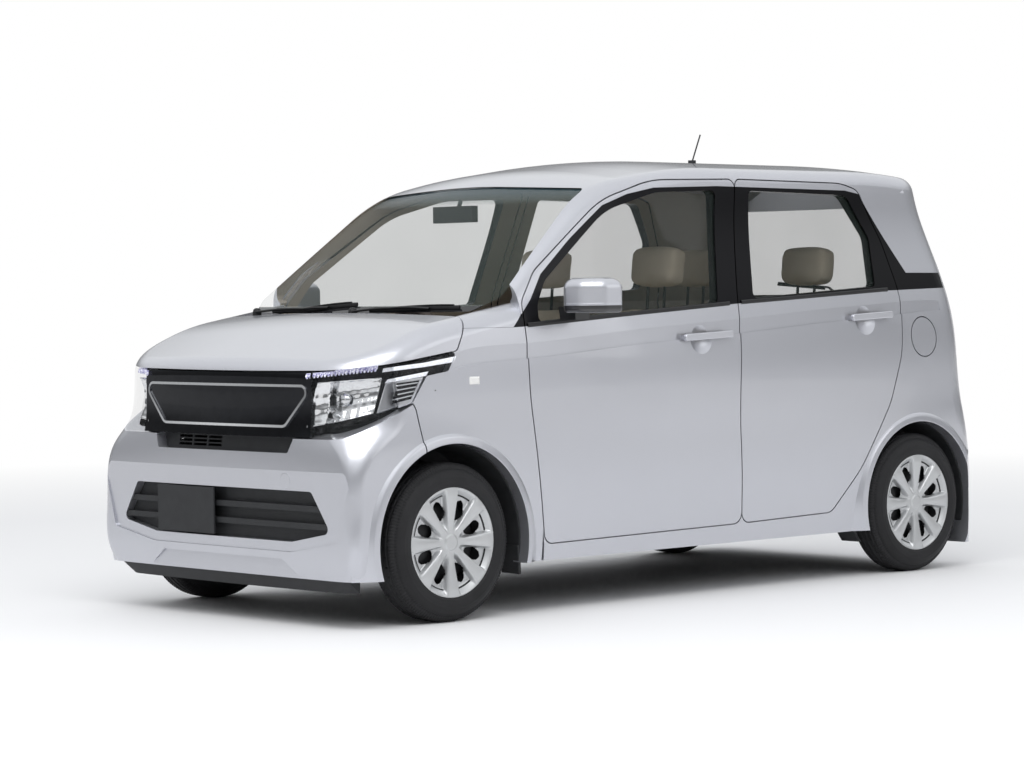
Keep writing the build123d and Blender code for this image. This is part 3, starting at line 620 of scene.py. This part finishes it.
def between(low, high, columns, rows):
    # a grid of points between two lines, each spaced evenly along its own length
    low, high = spread(low, columns), spread(high, columns)
    t = np.linspace(0, 1, rows)[:, None, None]
    return low[None] * (1 - t) + high[None] * t


# ---- headlamps ----
# the lamp's parts are drawn as (along, height) in a plane square to the studio camera, and land on the lens along the
# line of sight, so that they sit inside it where the camera sees them
sight = {
    "turn": 47.02,
    "depth": 1.53,                       # how far in front of the car's middle that plane stands
    "ahead": (-0.7674, 0.6410, -0.0303),
}
headlamp = {
    # the lower and the upper edge of each part
    "housing": (((-0.905, 0.655), (-0.531, 0.755), (-0.400, 0.860)),
                ((-0.905, 0.880), (-0.531, 0.915), (-0.400, 0.965))),
    "reflector": (((-0.905, 0.690), (-0.800, 0.708), (-0.676, 0.736)),
                  ((-0.868, 0.843), (-0.760, 0.850), (-0.645, 0.858))),
    "upperBar": (((-0.645, 0.876), (-0.500, 0.893), (-0.392, 0.910)),
                 ((-0.640, 0.890), (-0.500, 0.908), (-0.386, 0.930))),
    "lowerBar": (((-0.636, 0.839), (-0.560, 0.851), (-0.492, 0.863)),
                 ((-0.625, 0.852), (-0.560, 0.864), (-0.484, 0.878))),
    "wing": (((-0.666, 0.734), (-0.600, 0.751), (-0.546, 0.768)),
             ((-0.632, 0.842), (-0.560, 0.854), (-0.500, 0.862))),
    "louvre": (((-0.612, 0.768), (-0.546, 0.784)), ((-0.596, 0.838), (-0.516, 0.848))),
    "louvreBars": 4,
    "bulbCap": ((-0.772, 0.786), 0.021),       # centre and radius
    "ledStrip": ((-0.908, 0.856), (-0.662, 0.879)),
    "ledHeight": 0.019,
    "ledTeeth": 20,
    # how deep each part lies under the lens
    "deep": {"housing": 0.037, "reflector": 0.008, "bowl": 0.022, "cap": 0.026, "dome": 0.018, "strip": 0.005,
             "bar": 0.005, "wing": 0.010, "louvre": 0.0085, "louvreBar": 0.0065},
}
deep = headlamp["deep"]


def sightPlane(grid):
    # (along, height) points as places in the plane square to the camera
    turn = math.radians(sight["turn"])
    right, back = np.array([math.cos(turn), math.sin(turn), 0]), np.array([math.sin(turn), -math.cos(turn), 0])
    return grid[..., :1] * right + sight["depth"] * back + grid[..., 1:] * np.array([0, 0, 1])


def onLens(low, high, columns, rows, sunk):
    # a patch between two lines, landed on the left lens and sunk into it by a depth or a grid of depths
    points = sightPlane(between(low, high, columns, rows))
    points = landed(points, sight["ahead"], "headlamp_left", sunk=sunk)
    return points, gridFaces(rows, columns)


def reflectorShape():
    # the depth grows as half a sine both ways, with a step at each facet's edge
    rows, columns = 33, 61
    v, u = np.meshgrid(np.linspace(0, 1, rows), np.linspace(0, 1, columns), indexing="ij")
    bowl = np.sqrt(np.clip(np.sin(np.pi * u) * np.sin(np.pi * v), 0, 1))
    facets = np.abs((u * 7) % 1 - 0.5) * 0.006 + np.abs((v * 4) % 1 - 0.5) * 0.005
    return onLens(*headlamp["reflector"], columns, rows, deep["reflector"] + deep["bowl"] * bowl + facets)


def ledShape():
    # a strip whose lower edge rises between the teeth, its depth stepping with them
    teeth = headlamp["ledTeeth"]
    columns = teeth * 6 + 1
    low = spread(headlamp["ledStrip"], columns)
    high = low + np.array([0.004, headlamp["ledHeight"]])
    phase = (np.arange(columns) / 6) % 1
    low = low + np.array([0, 1]) * (0.010 * np.clip(np.abs(phase - 0.5) * 4 - 1, 0, 1))[:, None]
    t = np.linspace(0, 1, 4)[:, None, None]
    points = sightPlane(low * (1 - t) + high * t)
    sunk = deep["strip"] + 0.004 * (phase > 0.8)
    return landed(points, sight["ahead"], "headlamp_left", sunk=sunk), gridFaces(4, columns)


def glowing(name, colour, dark, strength):
    # a lit strip: bright teeth with violet gaps
    finish = Finish(name, Roughness=0.2, Emission_Strength=strength)
    wave = (finish.noise(160.0, 1.0) - 0.35).clamp() * 2.2
    tint = finish.mix(wave.clamp(), dark, colour)
    finish.set(Base_Color=tint, Emission_Color=tint)
    return finish.material


def mirrorMetal(name, colour, rough):
    # vacuum-plated reflector: almost plain, with a faint orange peel
    finish = Finish(name, Metallic=1.0)
    peel = finish.noise(90.0, 2.0)
    finish.set(Base_Color=finish.mix(peel, rgb(*[c * 0.82 for c in colour[:3]]), colour), Roughness=rough + peel * 0.08)
    finish.bump(peel, 0.0006, 0.5)
    return finish.material


lampChrome = mirrorMetal("lampChrome", rgb(0.90, 0.91, 0.93), 0.05)
lampSilver = mirrorMetal("lampSilver", rgb(0.62, 0.63, 0.66), 0.28)
lampBlack = grained("lampBlack", rgb(0.014, 0.014, 0.016), 0.28, 500.0)
lampWhite = glowing("lampWhite", rgb(0.95, 0.96, 1.0), rgb(0.16, 0.15, 0.34), 0.55)
barWhite = glowing("barWhite", rgb(0.93, 0.94, 0.97), rgb(0.70, 0.72, 0.78), 0.35)


def louvreBarShapes():
    # thin strips spaced evenly up the louvre's panel
    low, high = (np.array(line) for line in headlamp["louvre"])
    bars = []
    for i in range(headlamp["louvreBars"]):
        at = (i + 0.7) / (headlamp["louvreBars"] + 0.4)
        edge = low * (1 - at) + high * at
        bars.append(onLens(edge, edge + np.array([0, 0.0042]), 12, 3, deep["louvreBar"]))
    return joined(*bars)


def circleOnLens(centre, radius, sunk, dome):
    # a domed disc: rings about a centre in the sight plane, deeper or shallower towards the middle
    r = np.linspace(0.001, 1, 10)[:, None]
    angle = np.linspace(0, 2 * np.pi, 32, endpoint=False)[None]
    grid = np.stack([centre[0] + radius * r * np.cos(angle), centre[1] + radius * r * np.sin(angle)], -1)
    points = landed(sightPlane(grid), sight["ahead"], "headlamp_left", sunk=sunk - dome * np.sqrt(1 - (r * 0.98) ** 2))
    return points, gridFaces(10, 32, closedColumns=True)


lampShapes = (
    ("Housing", onLens(*headlamp["housing"], 60, 16, deep["housing"]), lampBlack, 0.002),
    ("Reflector", reflectorShape(), lampChrome, 0.001),
    ("BulbCap", circleOnLens(*headlamp["bulbCap"], deep["cap"], deep["dome"]), lampChrome, 0.001),
    ("Strip", ledShape(), lampWhite, 0.002),
    ("UpperBar", onLens(*headlamp["upperBar"], 40, 5, deep["bar"]), barWhite, 0.002),
    ("LowerBar", onLens(*headlamp["lowerBar"], 30, 5, deep["bar"]), barWhite, 0.002),
    ("Wing", onLens(*headlamp["wing"], 30, 12, deep["wing"]), lampSilver, 0.0015),
    ("Louvre", onLens(*headlamp["louvre"], 12, 8, deep["louvre"]), lampBlack, 0.001),
    ("LouvreBars", louvreBarShapes(), lampSilver, 0.001),
)
for label, shape, material, wall in lampShapes:
    pair("headlamp{}" + label, shape, material, "shell", "lamp_lens", wall=wall)
print("headlamps made")


# ---- small pieces on the nose ----
nose = {
    "towCover": ((0.363, 0.504), 0.026),            # centre as x and z, radius
    "marker": ((-1.131, 0.838), (0.050, 0.030)),    # centre as y and z, width and height
    "markerSwell": 0.006,
}


def towCoverShape():
    # a disc of rings landed on the bumper and standing just proud of it
    (centreX, centreZ), radius = nose["towCover"]
    r = np.linspace(0.001, 1, 8)[:, None]
    angle = np.linspace(0, 2 * np.pi, 40, endpoint=False)[None]
    x, z = centreX + radius * r * np.cos(angle), centreZ + radius * r * np.sin(angle)
    grid = np.stack([x, np.full_like(x, -2.2), z], -1)
    return landed(grid, (0, 1, 0), "front_bumper", sunk=-0.0008), gridFaces(8, 40, closedColumns=True)


def markerShape():
    # a square grid landed on the fender; it swells by one less the sixth power of the place, both ways
    (y, z), (wide, tall) = nose["marker"]
    v, u = square(15, 15)
    swell = (1 - np.abs(v) ** 6) * (1 - np.abs(u) ** 6)
    grid = np.stack([np.ones_like(v), y + u * wide / 2, z + v * tall / 2], -1)
    return landed(grid, (-1, 0, 0), "front_fender_left", sunk=0.001 - nose["markerSwell"] * swell), gridFaces(15, 15)


piece("towHookCover", *towCoverShape(), bodyPaint, "shell", "silver_paint", wall=0.0015, bevel=0.0006)
markerLens = glassOf("markerLens", rgb(0.85, 0.84, 0.80), 0.75)
pair("sideMarker{}", markerShape(), markerLens, "shell", "lamp_lens", wall=0.002)
print("nose pieces made")


# ---- mouldings and mirrors ----
moulding = {
    "profile": (0.0045, 0.0085),
    "lift": 0.004,                 # above the waist line
    "front": (-0.862, 0.196),      # along y, on the front door
    "rear": (0.262, 1.146),        # and on the rear door
}


def waistStrip(end):
    # an oval profile carried along the waist line between two y places, where it lands on the door
    low, high = moulding[end]
    stops = np.array(trimLines["waist"])
    y = np.concatenate([[low], stops[(stops[:, 0] > low) & (stops[:, 0] < high), 0], [high]])
    line = spread(np.stack([y, np.interp(y, stops[:, 0], stops[:, 1]) + moulding["lift"]], -1), 60)
    start = np.stack([np.full(60, 1.2), line[:, 0], line[:, 1]], -1)
    return alongPath(ring(*moulding["profile"]), landed(start, (-1, 0, 0), f"{end}_door_left"))


stripRubber = grained("stripRubber", rgb(0.014, 0.014, 0.015), 0.35, 700.0)
for end in ends:
    pair(end + "{}WaistStrip", waistStrip(end), stripRubber, end + "_door_{}", "dark_plastic")

mirror = {
    "lip": 1.094,          # below this height the shell is black
    "groove": 1.101,
    "glass": ((0.775, 1.088), (0.895, 1.178)),     # corners as x and z
    "rounding": 0.30,
}


def mirrorShell():
    # silver above the lip, black below it, with a fine groove between the two
    finish = Finish("mirrorShellPaint", Coat_Weight=1.0, Coat_Roughness=0.03)
    x, y, z = finish.axes()
    flakes, colour, rough = flaked(finish)
    low = z.below(mirror["lip"], 0.0008)
    finish.set(Base_Color=finish.mix(low, colour, paint["glossBlack"]), Roughness=finish.pick(low, rough, 0.3),
               Metallic=finish.pick(low, paint["metal"], 0.0))
    finish.bump(z.within(mirror["lip"], mirror["groove"], 0.002), 0.001, 0.6)
    return finish.material


def mirrorGlassShape():
    # a square grid pulled in towards its corners and landed on the shell's back
    (x0, z0), (x1, z1) = mirror["glass"]
    v, u = square(20, 24)
    across = u * np.sqrt(1 - mirror["rounding"] * v ** 2) * (x1 - x0) / 2
    height = v * np.sqrt(1 - mirror["rounding"] * u ** 2) * (z1 - z0) / 2
    grid = np.stack([(x0 + x1) / 2 + across, np.full(u.shape, 0.2), (z0 + z1) / 2 + height], -1)
    return landed(grid, (0, -1, 0), "mirror_left", sunk=-0.0015), gridFaces(20, 24)


mirrorPaint = mirrorShell()
for side, sign in sides:
    nodes[f"mirror_{side}"].data.materials[0] = mirrorPaint
mirrorGlass = mirrorMetal("mirrorGlass", rgb(0.82, 0.86, 0.90), 0.02)
pair("mirrorGlass{}", mirrorGlassShape(), mirrorGlass, "front_door_{}", "bright_trim", wall=0.001)
print("mouldings and mirrors made")


# ---- wheel arches ----
arch = {
    "height": 0.276,
    # centre y, radius, the liner's inner and outer x, and the angles that it runs between
    "front": (-1.236, 0.3455, (0.46, 0.694), (-6, 188)),
    "rear": (1.284, 0.3285, (0.505, 0.690), (-12, 196)),
    "wall": 0.0012,
    "turnedDown": 0.055,      # the height of the liner's inner edge
    # y, lower and upper z, inner and outer x, thickness, lean and curl
    "rearDeflector": (0.905, 0.138, 0.215, 0.600, 0.692, 0.010, 0.03, 0.02),
    "frontFlap": (-0.902, 0.143, 0.245, 0.600, 0.692, 0.010, 0.004, 0.0),
}


def linerShape(end):
    # a trough about the axle: ribs are a sine of the angle, and its inner edge turns down towards the axle
    centreY, radius, (inner, outer), (fromAngle, toAngle) = arch[end]
    angle = np.radians(np.linspace(fromAngle, toAngle, 120))[:, None]
    x = np.concatenate([[inner], np.linspace(inner, outer, 24)])[None]
    edge = np.zeros(x.shape)
    edge[0, 0] = arch["turnedDown"]
    ribs = 0.0010 * np.sin(angle * 34) * np.sin(np.pi * (x - inner) / (outer - inner))
    r = radius - edge - arch["wall"] + ribs
    points = np.stack([x + 0 * angle, centreY - np.cos(angle) * r, arch["height"] + np.sin(angle) * r], -1)
    return points, gridFaces(120, 25)


def flapShape(y, z0, z1, x0, x1, thick, lean, curl):
    # a closed thin slab: a flat loop of the section pushed across x, leaning and curling with the height
    t = np.linspace(0, 1, 14)
    front = np.stack([y + lean * t + curl * t ** 2, z1 + (z0 - z1) * t], -1)
    loop = np.concatenate([front, (front + np.array([thick, 0]))[::-1]])
    x = np.concatenate([[x0], np.linspace(x0, x1, 20), [x1]])
    shrink = np.ones(22)
    shrink[[0, -1]] = 0.02
    centre = loop.mean(0)
    points = centre + (loop[None] - centre) * shrink[:, None, None]
    full = np.concatenate([np.broadcast_to(x[:, None, None], points.shape[:2] + (1,)), points], -1)
    return full, gridFaces(22, len(loop), closedColumns=True)


darkPlastic = finishes["dark_plastic"]
for end in ends:
    pair(end + "{}ArchLiner", linerShape(end), darkPlastic, "shell", "dark_plastic", wall=arch["wall"])
for name in ("rearDeflector", "frontFlap"):
    pair(name + "{}", flapShape(*arch[name]), darkPlastic, "shell", "dark_plastic")
print("wheel arches made")


# ---- wipers ----
wiper = {
    # pivot x and y, tip x and y of each blade, as on the cowl
    "spots": ((-0.480, -1.140, 0.060, -1.103), (0.100, -1.156, 0.560, -1.050)),
    "foot": 1.074,
    "blade": (0.0038, 0.0085),
    "arm": (0.0065, 0.0045),
    "spine": 0.0028,
    "footProfile": ((0.022, 0.0005), (0.021, 0.008), (0.016, 0.014), (0.004, 0.017), (-0.012, 0.017)),
}


def wiperShape(pivotX, pivotY, tipX, tipY):
    # the arm rises from a domed foot and falls to the blade's middle; the blade lies on the glass as a tapered rib
    t = np.linspace(0, 1, 40)
    x, y = pivotX + (tipX - pivotX) * t, pivotY + (tipY - pivotY) * t
    glass = landed(np.stack([x, y, np.full(40, 2.0)], -1), (0, 0, -1), "windscreen", "cowl_panel")
    glass[:, 2] = np.maximum(glass[:, 2], wiper["foot"]) + 0.006
    arm = glass + np.stack([0 * t, -0.010 + 0 * t, 0.012 * np.sin(np.pi * np.clip(t * 1.3, 0, 1))], -1)
    armTube = alongPath(ring(*wiper["arm"]), arm[:30])
    blade = alongPath(ring(*wiper["blade"]), glass[6:] + np.array([0, 0.004, 0.004]))
    spine = alongPath(ring(wiper["spine"], wiper["spine"], 8), glass[8:-2] + np.array([0, 0.002, 0.014]))
    foot = turned(wiper["footProfile"], 24, (pivotX, pivotY, wiper["foot"]), "z")
    return joined(armTube, blade, spine, foot)


wiperBlack = grained("wiperBlack", rgb(0.012, 0.012, 0.013), 0.45, 600.0)
made = piece("windscreenWipers", *joined(*[wiperShape(*spot) for spot in wiper["spots"]]), wiperBlack, "shell",
             "dark_plastic")
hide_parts("wipers")
print("wipers made")


# ---- tail ----
tailLamp = {
    "pale": 1.585,         # ahead of this y the lens is clear
    "bands": ((1.345, 1.420), (1.000, 1.080)),
    "prisms": 700,
}
# centre as x and z, width and height, and how far each swells out
tailPieces = {
    "reflector": ((0.560, 0.420), (0.110, 0.028), 0.006),
    "brakeLamp": ((0, 1.535), (0.300, 0.018), 0.005),
    "garnish": ((0, 0.985), (0.560, 0.042), 0.010),
    "handle": ((0, 0.952), (0.180, 0.018), 0.004),
}
rearWiper = {
    "path": ((0.0, 1.108), (-0.060, 1.150), (-0.330, 1.172)),      # x and z
    "arm": (0.0070, 0.0045),
    "blade": (0.0060, 0.0045),
    "footProfile": ((0.026, 0.0005), (0.025, 0.012), (0.018, 0.019), (0.000, 0.021)),
}
forwards = (0, -1, 0)


def tailLens():
    # red with fine upright prisms, clear where it wraps to the side, and a clear band for the reversing lamp
    finish = Finish("tailLampLens", Roughness=0.08, Coat_Weight=1.0)
    x, y, z = finish.axes()
    clear = y.below(tailLamp["pale"], 0.004)
    for low, high in tailLamp["bands"]:
        clear = clear.fn("MAXIMUM", z.within(low, high, 0.003))
    prism = (z * tailLamp["prisms"]).fn("SINE")
    red = finish.mix((prism * 0.5 + 0.5) * 0.25, rgb(0.42, 0.010, 0.012), rgb(0.24, 0.006, 0.008))
    finish.set(Base_Color=finish.mix(clear, red, rgb(0.74, 0.75, 0.78)))
    finish.bump(prism, 0.0004)
    return finish.material


finishes["tail_lens"] = tailLens()
for side, sign in sides:
    nodes[f"tail_lamp_{side}"].data.materials[0] = finishes["tail_lens"]
redLens = grained("redReflector", rgb(0.40, 0.010, 0.012), 0.10, 260.0, 0.0003)


def pillowOn(name, node, rows=13, columns=31):
    # a rounded lens landed on a panel: it swells by one less a high power of the place, both ways
    (x, z), (wide, tall), rise = tailPieces[name]
    v, u = square(rows, columns)
    swell = (1 - np.abs(u) ** 8) * (1 - np.abs(v) ** 6)
    grid = np.stack([x + u * wide / 2, np.full(u.shape, 2.2), z + v * tall / 2], -1)
    return landed(grid, forwards, node, sunk=0.001 - rise * swell), gridFaces(rows, columns)


pair("rearReflector{}", pillowOn("reflector", "rear_bumper"), redLens, "shell", "tail_lens", wall=0.002)
piece("highBrakeLamp", *pillowOn("brakeLamp", "tailgate"), redLens, "tailgate", "tail_lens", wall=0.002)
piece("tailgateGarnish", *pillowOn("garnish", "tailgate", 15, 61), finishes["silver_paint"], "tailgate",
      "silver_paint", wall=0.002)
piece("tailgateHandle", *pillowOn("handle", "tailgate"), darkPlastic, "tailgate", "dark_plastic", wall=0.002)


def rearWiperShape():
    # a foot below the glass, an arm that leans over it and a blade that lies across it
    path = spread(rearWiper["path"], 30)
    start = np.stack([path[:, 0], np.full(30, 2.2), path[:, 1]], -1)
    arm = landed(start, forwards, "tailgate_glass", "tailgate")
    arm = arm + np.array([0, 1, 0]) * (0.010 + 0.006 * np.sin(np.linspace(0, np.pi, 30)))[:, None]
    foot = turned(rearWiper["footProfile"], 24, arm[0] - np.array([0, 0.014, 0]), "y")
    blade = arm[8:] + np.array([0, -0.003, -0.008])
    return joined(alongPath(ring(*rearWiper["arm"]), arm), alongPath(ring(*rearWiper["blade"]), blade), foot)


piece("rearWiper", *rearWiperShape(), darkPlastic, "tailgate", "dark_plastic")
print("tail made")


# ---- seats ----
seat = {
    "cap": 0.024,
    "voxel": 0.015,
    "pressure": 4.0,
    "frames": 20,
    "channelDepth": 0.007,
    "channelWidth": 0.006,
    "power": 0.34,                          # how square a pad is
    "frontChannels": (0.18, 0.45),
    "benchChannels": (-0.36, -0.12, 0.12, 0.36),
    "stayHalf": 0.045,                      # half the distance between a head restraint's two stays
    "stayRadius": 0.006,
    "rail": (0.020, 0.012),
    "stayHeights": (1.040, 1.20),
}
# name, size, centre, lean about x in degrees, bolster height, width lost at the foot
padTable = (
    ("Cushion", (0.470, 0.490, 0.190), (0.315, -0.172, 0.470), 3.0, 0.030, 0.0),
    ("Back", (0.460, 0.105, 0.590), (0.315, 0.152, 0.800), 8.0, 0.022, 0.0),
    ("Rest", (0.236, 0.092, 0.150), (0.315, 0.212, 1.236), 8.0, 0.0, 0.0),
)
benchTable = (
    ("Cushion", (1.110, 0.470, 0.120), (0.0, 0.700, 0.510), 2.0, 0.0, 0.0),
    ("Back", (1.110, 0.100, 0.580), (0.0, 1.030, 0.800), 8.0, 0.0, 0.19),
    ("RestLeft", (0.236, 0.092, 0.150), (0.310, 1.092, 1.236), 8.0, 0.0, 0.0),
    ("RestRight", (0.236, 0.092, 0.150), (-0.310, 1.092, 1.236), 8.0, 0.0, 0.0),
)


def padShape(size, centre, lean, bolster, foot):
    # a superellipsoid; its thin side swells at both edges for the bolsters, and its foot narrows before it leans back
    points, faces = pill((2, 2, 2), seat["power"], (0, 0, 0), 36, 64)
    u, v, w = points[..., 0], points[..., 1], points[..., 2]
    flat = size[2] > size[1]
    edge = softStep(np.abs(u), 0.62, 0.92)
    thin = -v if flat else w
    lift = bolster * edge * np.clip(thin, 0, 1)
    x = u * size[0] / 2 * (1 - foot * (1 - softStep(w, -0.55, -0.25)))
    y = v * size[1] / 2 - (lift if flat else 0)
    z = w * size[2] / 2 + (0 if flat else lift)
    turn = math.radians(-lean if flat else lean)
    y, z = y * math.cos(turn) - z * math.sin(turn), y * math.sin(turn) + z * math.cos(turn)
    return np.stack([x, y, z], -1) + np.array(centre), faces


def heldMesh(made):
    # the piece's mesh with its modifiers applied
    graph = bpy.context.evaluated_depsgraph_get()
    mesh = bpy.data.meshes.new_from_object(made.evaluated_get(graph))
    made.modifiers.clear()
    made.data = mesh
    return mesh


def swollen(pads):
    # every pad is remeshed, blown up as cloth for a few frames and held to the cap
    scene = bpy.context.scene
    before = []
    for made, lines in pads:
        remesh = made.modifiers.new("remesh", "REMESH")
        remesh.mode = "VOXEL"
        remesh.voxel_size = seat["voxel"]
        before.append(coords(heldMesh(made)))
        cloth = made.modifiers.new("cloth", "CLOTH")
        cloth.settings.use_pressure = True
        cloth.settings.uniform_pressure_force = seat["pressure"]
        cloth.settings.effector_weights.gravity = 0
        cloth.point_cache.frame_start, cloth.point_cache.frame_end = 1, seat["frames"]
    for number in range(1, seat["frames"] + 1):
        scene.frame_set(number)
    for (made, lines), start in zip(pads, before):
        mesh = heldMesh(made)
        moved = coords(mesh) - start
        length = np.linalg.norm(moved, axis=1)[:, None]
        spots = start + moved * np.minimum(1, seat["cap"] / np.maximum(length, 1e-9))
        mesh.vertices.foreach_set("co", spots.astype(np.float32).ravel())
    scene.frame_set(1)


def channelled(made, lines):
    # sewn channels: vertices near each upright plane sink along their normals by a bell curve of the distance
    mesh = made.data
    spots, normal = coords(mesh), coords(mesh, "normal")
    sink = sum(np.exp(-((spots[:, 0] - at) / seat["channelWidth"]) ** 2) for at in lines) * seat["channelDepth"]
    mesh.vertices.foreach_set("co", (spots - normal * sink[:, None]).astype(np.float32).ravel())
    mesh.shade_smooth()
    mesh.update()


beigeCloth = finishes["beige_cloth"]
pads = []
for side, sign in sides:
    for label, size, centre, lean, bolster, foot in padTable:
        shape = flipped(padShape(size, centre, lean, bolster, foot), sign)
        made = piece("frontSeat" + side.title() + label, *shape, beigeCloth, "shell", "beige_cloth")
        pads.append((made, () if label == "Rest" else [sign * at for at in seat["frontChannels"]]))
        if label == "Cushion":
            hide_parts(f"front_seat_{side}")
for label, size, centre, lean, bolster, foot in benchTable:
    shape = padShape(size, centre, lean, bolster, foot)
    made = piece("rearSeat" + label, *shape, beigeCloth, "shell", "beige_cloth")
    pads.append((made, () if "Rest" in label else seat["benchChannels"]))
    if label == "Cushion":
        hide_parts("rear_seat")
swollen(pads)
for made, lines in pads:
    if lines:
        channelled(made, lines)
    smooth = made.modifiers.new("smooth", "SUBSURF")
    smooth.levels = smooth.render_levels = 1


def stayShapes(centres, back):
    # two posts under each head restraint, leaning back as they rise
    low, high = seat["stayHeights"]
    posts = []
    for centre in centres:
        for x in (centre - seat["stayHalf"], centre + seat["stayHalf"]):
            post = spread(((x, back, low), (x, back + 0.014, high)), 8)
            posts.append(alongPath(ring(seat["stayRadius"], seat["stayRadius"]), post, up=(0, 1, 0)))
    return posts


def railShapes(centres, y, z, half):
    # straight slides with an oval section
    return [alongPath(ring(*seat["rail"]), spread(((x, y - half, z), (x, y + half, z)), 12)) for x in centres]


frontFrame = joined(*railShapes((0.145, 0.485), -0.170, 0.348, 0.24),
                    pill((0.380, 0.44, 0.064), 0.3, (0.315, -0.170, 0.368), 16, 40), *stayShapes((0.315,), 0.192))
pair("frontSeatFrame{}", frontFrame, finishes["steel"], "shell", "steel")
benchFrame = joined(*stayShapes((-0.310, 0.310), 1.072), pill((1.00, 0.42, 0.14), 0.3, (0, 0.680, 0.405), 16, 40))
piece("rearSeatFrame", *benchFrame, finishes["steel"], "shell", "steel")
print("seats made")


# ---- floor, light and camera ----
studio = {
    "floorHalf": 60.0,
    "floorColour": rgb(0.86, 0.86, 0.87),
    "fadeStart": 4.5,
    "fadeWidth": 5.0,
    # place, target, size and power of each lamp
    "keyLight": ((2.5, -3.5, 5.5), (0, 0, 0.8), (6.0, 3.0), 190.0),
    "fillLight": ((7.0, 3.5, 3.0), (0, 0.3, 0.7), (4.0, 3.0), 40.0),
    "worldLight": 1.0,
    "sky": ((0.0, 0.50), (0.03, 0.20), (0.20, 0.26), (0.42, 0.95), (0.80, 1.0)),     # height and brightness
}


def studioFloor():
    # a flat floor that turns into plain white away from the car
    far = studio["floorHalf"]
    mesh = bpy.data.meshes.new("studioFloor")
    mesh.from_pydata([(-far, -far, 0), (far, -far, 0), (far, far, 0), (-far, far, 0)], [], [(0, 1, 2, 3)])
    floor = linked("studioFloor", mesh)
    finish = Finish("studioFloorPale", Roughness=0.6)
    x, y, z = finish.axes()
    distance = (x * x + y * y) ** 0.5
    patches = finish.noise(0.6, 2.0)
    finish.set(Base_Color=finish.mix(patches * 0.1, studio["floorColour"], rgb(0.9, 0.9, 0.9)))
    glow = finish.node("ShaderNodeEmission", {}, {"Color": rgb(1, 1, 1), "Strength": 1.0})
    fade = distance.above(studio["fadeStart"] + studio["fadeWidth"] / 2, studio["fadeWidth"])
    blend = finish.node("ShaderNodeMixShader", {}, [fade, Wave(finish, finish.shader.outputs[0]), glow])
    finish.feed(finish.tree.nodes["Material Output"].inputs["Surface"], blend)
    mesh.materials.append(finish.material)


def areaLight(name, place, target, size, power):
    data = bpy.data.lights.new(name, "AREA")
    data.shape = "RECTANGLE"
    data.size, data.size_y = size
    data.energy = power
    lamp = linked(name, data)
    lamp.location = place
    lamp.rotation_euler = (Vector(target) - Vector(place)).to_track_quat("-Z", "Y").to_euler()


class Sky(Finish):
    # the world's nodes, added by the same method
    def __init__(self, name):
        world = bpy.data.worlds.new(name)
        bpy.context.scene.world = world
        world.use_nodes = True
        self.tree = world.node_tree


def studioWorld():
    # a white room that is greyer near the horizon, so that the sides shade from dark to light; the camera sees white
    sky = Sky("studioWorld")
    upward = sky.axes(sky.node("ShaderNodeTexCoord", {}, {}, out="Generated"))[2]
    stops = [(height, rgb(level * 0.97, level * 0.985, level)) for height, level in studio["sky"]]
    colour = sky.node("ShaderNodeValToRGB", {"stops": stops}, [upward])
    room = sky.node("ShaderNodeBackground", {}, {"Color": colour, "Strength": studio["worldLight"]})
    white = sky.node("ShaderNodeBackground", {}, {"Color": rgb(1, 1, 1)})
    seen = sky.node("ShaderNodeLightPath", {}, {}, out="Is Camera Ray")
    sky.feed(sky.tree.nodes["World Output"].inputs["Surface"], sky.node("ShaderNodeMixShader", {}, [seen, room, white]))


view = {
    "place": (8.509, -8.206, 1.142),
    "turn": 47.02,
    "down": 1.72,
    "roll": -0.666,
    "focalPixels": 3019.0,
    "imageWidth": 1024,
}


def studioCamera():
    data = bpy.data.cameras.new("viewCamera")
    data.sensor_width = 36.0
    data.lens = view["focalPixels"] / view["imageWidth"] * data.sensor_width
    data.clip_end = 200.0
    camera = linked("viewCamera", data)
    turn, down, roll = (math.radians(view[k]) for k in ("turn", "down", "roll"))
    back = np.array([math.sin(turn) * math.cos(down), -math.cos(turn) * math.cos(down), math.sin(down)])
    right = np.array([math.cos(turn), math.sin(turn), 0.0])
    up = np.cross(back, right)
    across = math.cos(roll) * right + math.sin(roll) * up
    upward = -math.sin(roll) * right + math.cos(roll) * up
    columns = np.stack([across, upward, back, np.array(view["place"])], 1)
    camera.matrix_world = Matrix(columns.tolist() + [[0, 0, 0, 1]])
    bpy.context.scene.camera = camera


studioFloor()
studioWorld()
studioCamera()
for name in ("keyLight", "fillLight"):
    areaLight(name, *studio[name])
bpy.context.scene.view_settings.view_transform = "Standard"
print("studio made")
